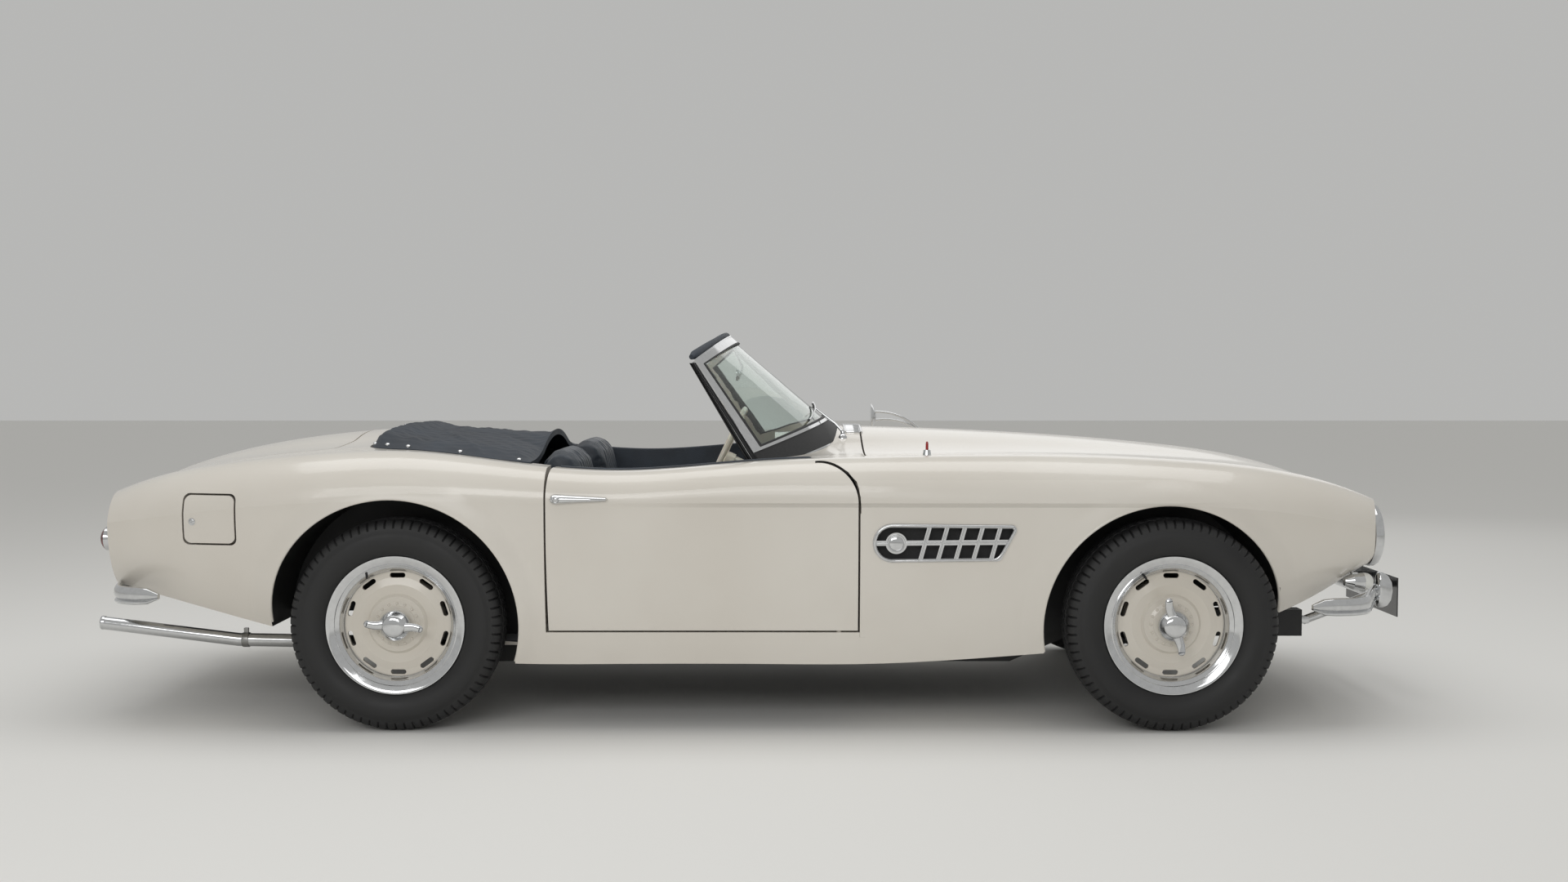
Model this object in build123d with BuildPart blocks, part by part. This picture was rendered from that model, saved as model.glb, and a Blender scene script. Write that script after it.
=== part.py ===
"""Open two-seat roadster of the 1950s with a front V8, built as its separate pieces.

Millimetres, +X towards the nose, +Y to the driver's left, +Z up. The origin is on the
ground, under the middle of the whole car. The car stands straight ahead with its doors,
bonnet, boot lid and fuel flap shut and its hood folded away.
"""

from build123d import *
from math import asin, atan2, cos, radians, sin, sqrt
import os

os.makedirs("parts", exist_ok=True)

# ---------------------------------------------------------------- driving sizes
wheelbase = 2480
axle_middle_x = 78  # middle of the wheelbase, ahead of the middle of the car
front_track = 1445
rear_track = 1425
tyre_radius = 341
tyre_width = 185
rim_radius = 210  # where the tyre sits
rim_edge_radius = 219
panel_gap = 6  # between a lid or door and its frame
sheet = 24  # edge depth of bonnet, boot lid and deck
fit_gap = 0.3  # between pieces that seat on each other
front_arch_radius = 395
rear_arch_radius = 408
wheelhouse_inner_y = 452
steer_pin_y = 675
steer_pin_radius = 14

front_axle_x = axle_middle_x + wheelbase / 2
rear_axle_x = axle_middle_x - wheelbase / 2
front_wheel_y = front_track / 2
rear_wheel_y = rear_track / 2
front_arch_x = front_axle_x - 18
rear_arch_x = rear_axle_x - 12

# doors
door_rear_x = -678
door_front_x = 314
door_bottom_z = 322
door_inner_y = 650
door_corner_radius = 150
door_pin_x = 254
door_pin_y = 750
door_pin_radius = 8

# fuel flap, on the right flank
flap_middle_x = -1758
flap_middle_z = 678
flap_length = 171
flap_height = 153
flap_corner = 22
flap_depth = 9
filler_radius = 34

# cabin
cabin_rear_x = -860
cabin_front_x = 520
cabin_half_width = 620
floor_top_z = 262
floor_thickness = 14
sill_bottom_z = 211
tunnel_half_width = 125
tunnel_top_z = 410

# grilles
grille_back_x = 1995
grille_inner_y = 40
grille_outer_y = 425
grille_low_z = 572
grille_high_z = 676

# lids
bonnet_rear_x = 350
bonnet_front_x = 1985
bonnet_rear_half = 585
bonnet_front_half = 400
boot_front_x = -1422
boot_rear_x = -2085
boot_half_width = 400

# body sections, from tail to nose; each row is one upright slice:
# x, z underside, y underside, y widest, z widest, y crest, z crest, y valley, z valley, z middle
body_sections = [
    (-2300, 478, 450, 545, 635, 420, 712, 280, 710, 718),
    (-2050, 430, 580, 688, 668, 530, 787, 350, 786, 815),
    (-1800, 376, 654, 758, 700, 596, 843, 408, 845, 883),
    (-1480, 300, 702, 802, 731, 638, 880, 470, 882, 929),
    (-1150, 240, 730, 814, 740, 660, 892, 510, 894, 948),
    (-800, 212, 742, 806, 734, 688, 855, 572, 857, 938),
    (-450, 211, 745, 800, 730, 702, 830, 610, 831, 930),
    (-12, 211, 745, 800, 728, 700, 860, 590, 861, 952),
    (350, 211, 745, 802, 728, 680, 874, 570, 872, 950),
    (900, 242, 734, 806, 728, 652, 880, 522, 874, 928),
    (1400, 292, 706, 800, 722, 630, 861, 486, 852, 889),
    (1720, 372, 645, 762, 694, 604, 823, 452, 811, 842),
    (1900, 455, 596, 716, 660, 586, 777, 421, 760, 790),
    (2150, 560, 510, 620, 610, 545, 672, 362, 645, 668),
]


def s_curve(start, end):
    """Two equal arcs that leave start and reach end level."""
    across = end[0] - start[0]
    rise = end[1] - start[1]
    radius = (across**2 + rise**2) / (4 * abs(rise))
    half_turn = asin(abs(across) / 2 / radius) / 2
    step_y = radius * sin(half_turn) * (1 if across > 0 else -1)
    step_z = radius * (1 - cos(half_turn)) * (1 if rise > 0 else -1)
    middle = ((start[0] + end[0]) / 2, (start[1] + end[1]) / 2)
    ThreePointArc(start, (start[0] + step_y, start[1] + step_z), middle)
    ThreePointArc(middle, (end[0] - step_y, end[1] - step_z), end)


def body_slice(row):
    """One closed slice of the body: level underside, curved flanks, wing crests and crown."""
    x, z_under, y_under, y_wide, z_wide, y_crest, z_crest, y_valley, z_valley, z_middle = row
    with BuildSketch(Plane.YZ.offset(x)) as slice_sketch:
        with BuildLine():
            Line((-y_under, z_under), (y_under, z_under))
            for side in (1, -1):
                inset = y_wide - y_under
                drop = z_wide - z_under
                flank_radius = (inset**2 + drop**2) / (2 * inset)
                turn = atan2(drop, flank_radius - inset) / 2
                bend = (
                    side * (y_wide - flank_radius * (1 - cos(turn))),
                    z_wide - flank_radius * sin(turn),
                )
                ThreePointArc((side * y_under, z_under), bend, (side * y_wide, z_wide))
                reach = y_wide - y_crest
                rise = z_crest - z_wide
                crest_radius = (reach**2 + rise**2) / (2 * rise)
                turn = atan2(reach, crest_radius - rise) / 2
                bend = (
                    side * (y_crest + crest_radius * sin(turn)),
                    z_crest - crest_radius * (1 - cos(turn)),
                )
                ThreePointArc((side * y_wide, z_wide), bend, (side * y_crest, z_crest))
                s_curve((side * y_crest, z_crest), (side * y_valley, z_valley))
                s_curve((side * y_valley, z_valley), (0, z_middle))
        make_face()
    return slice_sketch.sketch


def box_between(low, high):
    """A plain block from its low corner to its high corner."""
    with BuildPart() as block:
        with BuildSketch(Plane.XY.offset(low[2])):
            with Locations(((low[0] + high[0]) / 2, (low[1] + high[1]) / 2)):
                Rectangle(high[0] - low[0], high[1] - low[1])
        extrude(amount=high[2] - low[2])
    return block.part


def side_box(side, x_range, y_range, z_range):
    """A block on one side of the car; y_range is measured outwards from the middle."""
    y_low, y_high = sorted((side * y_range[0], side * y_range[1]))
    return box_between((x_range[0], y_low, z_range[0]), (x_range[1], y_high, z_range[1]))


def cylinder_y(x, z, radius, y_from, y_to):
    """A round bar along Y."""
    low, high = sorted((y_from, y_to))
    with BuildPart() as bar:
        with BuildSketch(Plane.XZ.offset(-low)):
            with Locations((x, z)):
                Circle(radius)
        extrude(amount=-(high - low))
    return bar.part


def dome(rim, tip_x):
    """An arc from the rim to a tip on the turning axis, centred on that axis."""
    rise = tip_x - rim[0]
    radius = (rim[1] ** 2 + rise**2) / (2 * rise)
    half_turn = atan2(rim[1], radius - rise) / 2
    bend = (tip_x - radius * (1 - cos(half_turn)), radius * sin(half_turn))
    ThreePointArc(rim, bend, (tip_x, 0))


def finish(name, part):
    part.label = name
    export_step(part, f"parts/{name}.step")


# ---------------------------------------------------------------- body skin
with BuildPart() as skin_loft:
    loft([body_slice(row) for row in body_sections])

tail_x_side = -2116
tail_x_middle = -2176
nose_x_side = 1985
nose_x_middle = 2085
with BuildPart() as body_ends:
    with BuildSketch(Plane.XY):
        with BuildLine():
            ThreePointArc((tail_x_side, -720), (tail_x_middle, 0), (tail_x_side, 720))
            Polyline((tail_x_side, 720), (tail_x_side, 900), (nose_x_side, 900), (nose_x_side, 720))
            ThreePointArc((nose_x_side, 720), (nose_x_middle, 0), (nose_x_side, -720))
            Polyline(
                (nose_x_side, -720), (nose_x_side, -900), (tail_x_side, -900), (tail_x_side, -720)
            )
        make_face()
    extrude(amount=1200)

with BuildPart() as skin:
    add(skin_loft.part)
    add(body_ends.part, mode=Mode.INTERSECT)



def lowered(depth):
    """The body skin moved straight down, which is the back of a panel that deep."""
    return Pos(0, 0, -depth) * skin.part


skin_back = lowered(sheet)
pocket_floor = lowered(sheet + panel_gap)


def plan_prism(points, corner_radii, grow=0.0, z_range=(0, 1200)):
    """An upright prism on a plan outline with rounded corners, grown by a gap."""
    with BuildPart() as prism:
        with BuildSketch(Plane.XY.offset(z_range[0])) as outline:
            with BuildLine():
                FilletPolyline(*points, radius=corner_radii, close=True)
            make_face()
            if grow:
                offset(amount=grow, kind=Kind.INTERSECTION)
        extrude(amount=z_range[1] - z_range[0])
    return prism.part


bonnet_outline = [
    (bonnet_rear_x, -bonnet_rear_half),
    (bonnet_rear_x, bonnet_rear_half),
    (1700, 500),
    (bonnet_front_x, 330),
    (bonnet_front_x, -330),
    (1700, -500),
]
bonnet_corners = [25, 25, 300, 200, 200, 300]
boot_outline = [
    (boot_rear_x, -330),
    (boot_front_x - 40, -boot_half_width),
    (boot_front_x, -250),
    (boot_front_x, 250),
    (boot_front_x - 40, boot_half_width),
    (boot_rear_x, 330),
]
boot_corners = [90, 40, 200, 200, 40, 90]
bonnet_prism = plan_prism(bonnet_outline, bonnet_corners)
bonnet_frame_prism = plan_prism(bonnet_outline, bonnet_corners, panel_gap)
boot_prism = plan_prism(boot_outline, boot_corners)
boot_frame_prism = plan_prism(boot_outline, boot_corners, panel_gap)

with BuildPart() as bonnet_pocket:
    add(bonnet_frame_prism)
    add(pocket_floor, mode=Mode.SUBTRACT)
with BuildPart() as boot_pocket:
    add(boot_frame_prism)
    add(pocket_floor, mode=Mode.SUBTRACT)


def door_prism(side, grow=0.0):
    """The door's outline seen from the side, through the whole flank on one side."""
    low_y, high_y = sorted((side * (door_inner_y - 2 * grow), side * 860))
    with BuildPart() as prism:
        with BuildSketch(Plane.XZ.offset(-low_y)):
            with BuildLine():
                Line((door_rear_x - grow, door_bottom_z - grow), (door_front_x + grow, door_bottom_z - grow))
                Line((door_front_x + grow, door_bottom_z - grow), (door_front_x + grow, 735))
                ThreePointArc(
                    (door_front_x + grow, 735), (283 + grow, 815 + grow), (178, 857 + grow)
                )
                Polyline(
                    (178, 857 + grow), (178, 1000), (door_rear_x - grow, 1000),
                    (door_rear_x - grow, door_bottom_z - grow),
                )
            make_face()
        extrude(amount=-(high_y - low_y))
    return prism.part


# ---------------------------------------------------------------- hollows and cuts
screen_base_arc = ((-18, -622), (243, 0), (-18, 622))
with BuildPart() as cabin_hollow:
    with BuildSketch(Plane.XY.offset(floor_top_z)):
        with BuildLine():
            Line((cabin_rear_x, -cabin_half_width), (cabin_rear_x, cabin_half_width))
            Line((cabin_rear_x, cabin_half_width), (screen_base_arc[0][0], cabin_half_width))
            ThreePointArc(
                (screen_base_arc[0][0], cabin_half_width),
                screen_base_arc[1],
                (screen_base_arc[0][0], -cabin_half_width),
            )
            Line((screen_base_arc[0][0], -cabin_half_width), (cabin_rear_x, -cabin_half_width))
        make_face()
    extrude(amount=1000)
    add(box_between((door_rear_x - panel_gap, -door_inner_y, door_bottom_z - panel_gap), (-18, door_inner_y, 1100)))
    add(box_between((cabin_rear_x - 17, -600, 100), (door_rear_x, 600, floor_top_z - floor_thickness)))
    add(box_between((cabin_rear_x, -600, floor_top_z - floor_thickness - 1), (door_rear_x, 600, floor_top_z)))
    add(
        box_between(
            (cabin_rear_x - 17, -tunnel_half_width + 10, floor_top_z - floor_thickness - 1),
            (cabin_rear_x, tunnel_half_width - 10, tunnel_top_z - 10),
        )
    )

ledge = 24  # what is left round a lid's opening for it to rest on
engine_bay = plan_prism(bonnet_outline, bonnet_corners, -ledge)
axle_tunnel = box_between((-1600, -452, 100), (cabin_rear_x - 16, 452, 560))
boot_space = plan_prism(boot_outline, boot_corners, -ledge, (520, 1200))


def buffers(places):
    """Rubber buffers that stand on a lid's ledge and stop just below the closed lid."""
    with BuildPart() as posts:
        with BuildSketch(Plane.XY.offset(600)):
            with Locations(*places):
                Circle(7)
        extrude(amount=500)
        add(lowered(sheet + fit_gap), mode=Mode.INTERSECT)
        add(lowered(sheet + panel_gap + 2), mode=Mode.SUBTRACT)
    return posts.part


cover_outline = [
    (-1330, -455),
    (-1330, 455),
    (-1180, 600),
    (-880, 640),
    (-745, 640),
    (-745, -640),
    (-880, -640),
    (-1180, -600),
]
cover_corners = [180, 180, 200, 120, 12, 12, 120, 200]
cover_prism = plan_prism(cover_outline, cover_corners)
cover_frame_prism = plan_prism(cover_outline, cover_corners, 1.0)
with BuildPart() as cover_pocket:
    add(cover_frame_prism)
    add(lowered(20), mode=Mode.SUBTRACT)

def profile_y(points, y_range):
    """A side profile made solid across y_range."""
    with BuildPart() as bar:
        with BuildSketch(Plane.XZ.offset(-y_range[0])):
            with BuildLine():
                Polyline(*points, close=True)
            make_face()
        extrude(amount=-(y_range[1] - y_range[0]))
    return bar.part


# ---------------------------------------------------------------- side vents
vent_round = (422, 606)
vent_radius = 62
vent_top_front_x = 826
vent_bottom_front_x = 764
vent_frame = 11
vent_recess_y = 766


def vent_prism(inset, y_from):
    """The vent's outline, round behind and slanted in front, on the left flank."""
    with BuildPart() as prism:
        with BuildSketch(Plane.XZ.offset(-y_from)) as outline:
            with BuildLine():
                ThreePointArc(
                    (vent_round[0], vent_round[1] + vent_radius),
                    (vent_round[0] - vent_radius, vent_round[1]),
                    (vent_round[0], vent_round[1] - vent_radius),
                )
                Polyline(
                    (vent_round[0], vent_round[1] - vent_radius),
                    (vent_bottom_front_x, vent_round[1] - vent_radius + 4),
                    (vent_top_front_x, vent_round[1] + vent_radius - 4),
                    (vent_round[0], vent_round[1] + vent_radius),
                )
            make_face()
            fillet(outline.vertices().sort_by(Axis.X)[-2:], 16)
            if inset:
                offset(amount=-inset)
        extrude(amount=-(860 - y_from))
    return prism.part


# ---------------------------------------------------------------- fixed body panels


def front_wing(side):
    with BuildPart() as wing:
        add(skin.part)
        add(
            side_box(side, (170, 2300), (door_inner_y - 10, 900), (700, 1100))
            + side_box(side, (door_front_x + panel_gap, 2300), (door_inner_y - 10, 900), (100, 1100))
            + side_box(side, (bonnet_rear_x - panel_gap, 2300), (560, 900), (100, 1100))
            + side_box(side, (880, 2300), (wheelhouse_inner_y, 900), (100, 1100)),
            mode=Mode.INTERSECT,
        )
        add(door_prism(side, panel_gap), mode=Mode.SUBTRACT)
        add(bonnet_pocket.part, mode=Mode.SUBTRACT)
        add(cylinder_y(front_arch_x, 334, front_arch_radius, side * 400, side * 900), mode=Mode.SUBTRACT)
        add(door_swing(side), mode=Mode.SUBTRACT)
        add(vent_prism(0, vent_recess_y), mode=Mode.SUBTRACT)
        add(buffers([(430, side * 573), (1500, side * 523)]))
    return wing.part


def door_swing(side):
    """The room that the door's front edge turns in, behind the wing's rear edge."""
    with BuildPart() as swing:
        with BuildSketch(Plane(origin=(door_pin_x, side * door_pin_y, 0), x_dir=(1, 0, 0), z_dir=(0, -1, 0))):
            with BuildLine():
                Polyline((0, 300), (86, 300), (86, 752), (80, 779), (70, 801), (37.5, 831), (0, 851), close=True)
            make_face()
        revolve(axis=Axis((door_pin_x, side * door_pin_y, 0), (0, 0, 1)))
    return swing.part


def finish_pair(name, left_part):
    """Writes a left piece and its mirror image on the right."""
    finish(f"{name}_left", left_part)
    finish(f"{name}_right", mirror(left_part, about=Plane.XZ))


finish_pair("front_wing", front_wing(1))


def rear_wing(side):
    with BuildPart() as wing:
        add(skin.part)
        add(side_box(side, (-2300, door_rear_x - panel_gap), (452, 900), (100, 1100)), mode=Mode.INTERSECT)
        add(cabin_hollow.part, mode=Mode.SUBTRACT)
        add(boot_pocket.part, mode=Mode.SUBTRACT)
        add(cover_pocket.part, mode=Mode.SUBTRACT)
        add(cylinder_y(rear_arch_x, 341, rear_arch_radius, side * 400, side * 900), mode=Mode.SUBTRACT)
    return wing.part


rear_wing_left = rear_wing(1)
finish("rear_wing_left", rear_wing_left)


def flap_prism():
    """The fuel flap's rounded outline on the right flank."""
    with BuildPart() as prism:
        with BuildSketch(Plane.XZ.offset(690)):
            with Locations((flap_middle_x, flap_middle_z)):
                RectangleRounded(flap_length, flap_height, flap_corner)
        extrude(amount=200)
    return prism.part


with BuildPart() as flap_rest:
    add(box_between((-1705, -800, 663), (-1685, -690, 693)))
    add(Pos(0, flap_depth + fit_gap, 0) * skin.part, mode=Mode.INTERSECT)

with BuildPart() as rear_wing_right:
    add(mirror(rear_wing_left, about=Plane.XZ))
    with BuildSketch(Plane.XZ.offset(690)):
        with Locations((flap_middle_x, flap_middle_z)):
            RectangleRounded(flap_length + 2 * panel_gap, flap_height + 2 * panel_gap, flap_corner)
    extrude(amount=200, mode=Mode.SUBTRACT)
    with BuildSketch(Plane.XZ.offset(690)):
        with Locations((flap_middle_x, flap_middle_z)):
            Circle(filler_radius)
    extrude(amount=35)
    add(flap_rest.part)
finish("rear_wing_right", rear_wing_right.part)

with BuildPart() as fuel_flap:
    add(flap_prism())
    add(skin.part, mode=Mode.INTERSECT)
    add(Pos(0, flap_depth, 0) * skin.part, mode=Mode.SUBTRACT)
finish("fuel_flap", fuel_flap.part)

with BuildPart() as tail:
    add(skin.part)
    add(box_between((-2300, -452, 100), (door_rear_x - panel_gap, 452, 1100)), mode=Mode.INTERSECT)
    add(cabin_hollow.part, mode=Mode.SUBTRACT)
    add(axle_tunnel, mode=Mode.SUBTRACT)
    add(boot_pocket.part, mode=Mode.SUBTRACT)
    add(boot_space, mode=Mode.SUBTRACT)
    add(cover_pocket.part, mode=Mode.SUBTRACT)
    add(buffers([(boot_rear_x + 12, 200), (boot_rear_x + 12, -200)]))
finish("tail", tail.part)

with BuildPart() as nose:
    add(skin.part)
    add(box_between((1750, -wheelhouse_inner_y, 100), (2300, wheelhouse_inner_y, 1100)), mode=Mode.INTERSECT)
    add(bonnet_pocket.part, mode=Mode.SUBTRACT)
    add(engine_bay, mode=Mode.SUBTRACT)
    for side in (1, -1):
        add(
            side_box(side, (grille_back_x, 2300), (grille_inner_y, grille_outer_y), (grille_low_z, grille_high_z)),
            mode=Mode.SUBTRACT,
        )
finish("nose", nose.part)

with BuildPart() as cowl:
    add(box_between((-18, -door_inner_y + 10, 500), (bonnet_rear_x - panel_gap, door_inner_y - 10, 1100)))
    add(skin.part, mode=Mode.INTERSECT)
    add(skin_back, mode=Mode.SUBTRACT)
    add(cabin_hollow.part, mode=Mode.SUBTRACT)
finish("cowl", cowl.part)

# ---------------------------------------------------------------- lids and doors
with BuildPart() as bonnet:
    add(bonnet_prism)
    add(skin.part, mode=Mode.INTERSECT)
    add(skin_back, mode=Mode.SUBTRACT)
finish("bonnet", bonnet.part)

with BuildPart() as boot_lid:
    add(boot_prism)
    add(skin.part, mode=Mode.INTERSECT)
    add(skin_back, mode=Mode.SUBTRACT)
finish("boot_lid", boot_lid.part)


def door(side):
    with BuildPart() as leaf:
        add(skin.part)
        add(door_prism(side), mode=Mode.INTERSECT)
        with BuildSketch(Plane.XY.offset(door_bottom_z)):
            with Locations((door_pin_x, side * door_pin_y)):
                Circle(door_pin_radius + fit_gap)
        extrude(amount=40, mode=Mode.SUBTRACT)
        with BuildSketch(Plane.XY.offset(door_bottom_z - 1)):
            with BuildLine():
                Polyline(
                    (door_rear_x - 20, side * (door_inner_y - 10)),
                    (door_rear_x + 17, side * (door_inner_y - 10)),
                    (door_rear_x, side * 800),
                    (door_rear_x - 20, side * 800),
                    close=True,
                )
            make_face()
        extrude(amount=800, mode=Mode.SUBTRACT)
    return leaf.part


finish_pair("door", door(1))

with BuildPart() as hood_cover:
    add(cover_prism)
    add(lowered(-18), mode=Mode.INTERSECT)
    add(lowered(19.5), mode=Mode.SUBTRACT)
finish("hood_cover", hood_cover.part)


# ---------------------------------------------------------------- floor and frame
with BuildPart() as sill_left:
    add(skin.part)
    add(
        box_between(
            (door_rear_x - panel_gap, 600, 150),
            (door_front_x + panel_gap, 900, door_bottom_z - panel_gap),
        ),
        mode=Mode.INTERSECT,
    )
    with BuildSketch(Plane.XY.offset(door_bottom_z - panel_gap - 1)):
        with Locations((door_pin_x, door_pin_y)):
            Circle(door_pin_radius)
    extrude(amount=36)

with BuildPart() as floor_pan:
    floor_base_z = floor_top_z - floor_thickness
    add(box_between((cabin_rear_x, -599.7, floor_base_z), (door_front_x + panel_gap, 599.7, floor_top_z)))
    add(box_between((door_front_x, -559.7, floor_base_z), (cabin_front_x, 559.7, floor_top_z)))
    for side in (1, -1):
        add(side_box(side, (door_rear_x - panel_gap, door_front_x), (595, 605), (floor_base_z, floor_top_z)))
    add(box_between((cabin_rear_x, -tunnel_half_width, floor_top_z - floor_thickness), (cabin_front_x, tunnel_half_width, tunnel_top_z)))
    add(
        box_between(
            (cabin_rear_x - 1, -tunnel_half_width + 10, floor_top_z - floor_thickness - 1),
            (cabin_front_x + 1, tunnel_half_width - 10, tunnel_top_z - 10),
        ),
        mode=Mode.SUBTRACT,
    )
    add(sill_left.part)
    add(mirror(sill_left.part, about=Plane.XZ))
finish("floor_pan", floor_pan.part)

bulkhead_step_z = 620
with BuildPart() as bulkhead:
    add(
        profile_y(
            [
                (cabin_front_x, floor_top_z - floor_thickness),
                (cabin_front_x + 12, floor_top_z - floor_thickness),
                (cabin_front_x + 12, bulkhead_step_z + 12),
                (bonnet_rear_x + 12, bulkhead_step_z + 12),
                (bonnet_rear_x + 12, 980),
                (bonnet_rear_x, 980),
                (bonnet_rear_x, bulkhead_step_z),
                (cabin_front_x, bulkhead_step_z),
            ],
            (-559.7, 559.7),
        )
    )
    add(box_between((500, -tunnel_half_width, 100), (560, tunnel_half_width, tunnel_top_z)), mode=Mode.SUBTRACT)
    add(lowered(sheet + panel_gap + 1), mode=Mode.INTERSECT)
finish("bulkhead", bulkhead.part)

engine_half_width = 290
rail_half = 45
rail_low_z = floor_top_z - floor_thickness - fit_gap - rail_half
rail_path = [
    (-1600, 470),
    (-1120, 470),
    (-920, rail_low_z),
    (850, rail_low_z),
    (1050, 290),
    (1850, 290),
]
cross_top_z = rail_low_z + rail_half
with BuildPart() as frame:
    for y_range in ((340, 400), (-400, -340)):
        add(
            profile_y(
                [(x, z + rail_half) for x, z in rail_path]
                + [(x, z - rail_half) for x, z in reversed(rail_path)],
                y_range,
            )
        )
    for x, z_low, z_high in (
        (-1560, 440, 500),
        (-900, 208, cross_top_z),
        (-60, 208, cross_top_z),
        (300, 196, 231),
        (1790, 260, 320),
    ):
        add(box_between((x - 30, -345, z_low), (x + 30, 345, z_high)))
    add(box_between((front_axle_x - 110, -400, 222), (front_axle_x + 110, 400, 258)))
    for y_low in (340, -400):
        add(box_between((front_axle_x - 40, y_low, 330), (front_axle_x + 40, y_low + 60, 470)))
    for side in (1, -1):
        add(side_box(side, (1060, 1120), (engine_half_width + fit_gap, 345), (300, 425)))
finish("frame", frame.part)

# ---------------------------------------------------------------- engine and drive
crank_z = 300
with BuildPart() as engine:
    add(box_between((700, -150, 215), (1200, 150, 480)))
    add(box_between((700, -engine_half_width, 400), (1230, engine_half_width, 740)))
    with BuildSketch(Plane.XY.offset(739)):
        with Locations((955, 0)):
            Circle(170)
    extrude(amount=60)
finish("engine", engine.part)

with BuildPart() as drive_line:
    with BuildSketch(Plane.YZ.offset(-1010)):
        with Locations((0, crank_z)):
            Circle(36)
    extrude(amount=1100)
    with BuildSketch(Plane.YZ.offset(80)):
        with Locations((0, crank_z)):
            Circle(50)
    with BuildSketch(Plane.YZ.offset(540)):
        with Locations((0, crank_z)):
            Circle(84)
    loft()
    with BuildSketch(Plane.YZ.offset(540)):
        with Locations((0, crank_z)):
            Circle(84)
    with BuildSketch(Plane.YZ.offset(699.7)):
        with Locations((0, crank_z)):
            Circle(130)
    loft()
finish("drive_line", drive_line.part)

radiator = box_between((1765, -330, 320 + fit_gap), (1815, 330, 700))
finish("radiator", radiator)

# ---------------------------------------------------------------- axles
axle_z = tyre_radius
spindle_radius = 24
drum_radius = 142
drum_wall = 18
backplate_radius = 88
rim_inner_y = 75
with BuildPart() as rear_axle:
    add(cylinder_y(rear_axle_x, axle_z, 36, -(rear_wheel_y - 60), rear_wheel_y - 60))
    add(cylinder_y(rear_axle_x, axle_z, spindle_radius, -(rear_wheel_y + 30), rear_wheel_y + 30))
    with BuildSketch(Plane(origin=(rear_axle_x, 0, axle_z), z_dir=(0, 0, 1))):
        with BuildLine():
            ThreePointArc((0, -130), (130, 0), (0, 130))
            Line((0, 130), (0, -130))
        make_face()
    revolve(axis=Axis((rear_axle_x, 0, axle_z), (0, 1, 0)))
    add(
        profile_y(
            [
                (rear_axle_x + 100, axle_z + 30),
                (-1010 - fit_gap, crank_z + 45),
                (-1010 - fit_gap, crank_z - 45),
                (rear_axle_x + 100, axle_z - 30),
            ],
            (-45, 45),
        )
    )
    for side in (1, -1):
        add(cylinder_y(rear_axle_x, axle_z, backplate_radius, side * (rear_wheel_y - 66), side * (rear_wheel_y - 58)))
        y_range = sorted((side * 300, side * 330))
        add(profile_y([(rear_axle_x, axle_z + 25), (-930, 240), (-930, 212), (rear_axle_x, axle_z - 25)], y_range))
finish("rear_axle", rear_axle.part)

lower_arm_z = 240
upper_arm_z = 445
with BuildPart() as front_suspension:
    for side in (1, -1):
        for z in (lower_arm_z, upper_arm_z):
            with BuildSketch(Plane.XY.offset(z - 8)):
                with BuildLine():
                    Polyline(
                        (front_axle_x - 110, side * 400.2),
                        (front_axle_x + 110, side * 400.2),
                        (front_axle_x + 26, side * steer_pin_y),
                        (front_axle_x - 26, side * steer_pin_y),
                        close=True,
                    )
                make_face()
                with Locations((front_axle_x, side * steer_pin_y)):
                    Circle(26)
            extrude(amount=16)
        with BuildSketch(Plane.XY.offset(lower_arm_z - 11)):
            with Locations((front_axle_x, side * steer_pin_y)):
                Circle(steer_pin_radius)
        extrude(amount=upper_arm_z - lower_arm_z + 22)
finish("front_suspension", front_suspension.part)


def knuckle(side):
    with BuildPart() as upright:
        with BuildSketch(Plane.XY.offset(lower_arm_z + 8.5)):
            with Locations((front_axle_x, side * steer_pin_y)):
                Circle(30)
        extrude(amount=upper_arm_z - lower_arm_z - 17)
        add(cylinder_y(front_axle_x, axle_z, 36, side * steer_pin_y, side * (front_wheel_y - 19)))
        add(cylinder_y(front_axle_x, axle_z, spindle_radius, side * steer_pin_y, side * (front_wheel_y + 30)))
        add(cylinder_y(front_axle_x, axle_z, backplate_radius, side * (front_wheel_y - 30), side * (front_wheel_y - 22)))
        with BuildSketch(Plane.XY.offset(lower_arm_z)):
            with Locations((front_axle_x, side * steer_pin_y)):
                Circle(steer_pin_radius + fit_gap)
        extrude(amount=upper_arm_z - lower_arm_z, mode=Mode.SUBTRACT)
    return upright.part


finish_pair("knuckle", knuckle(1))

# ---------------------------------------------------------------- wheels and tyres
slot_count = 10
slot_ring_radius = 156


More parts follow.
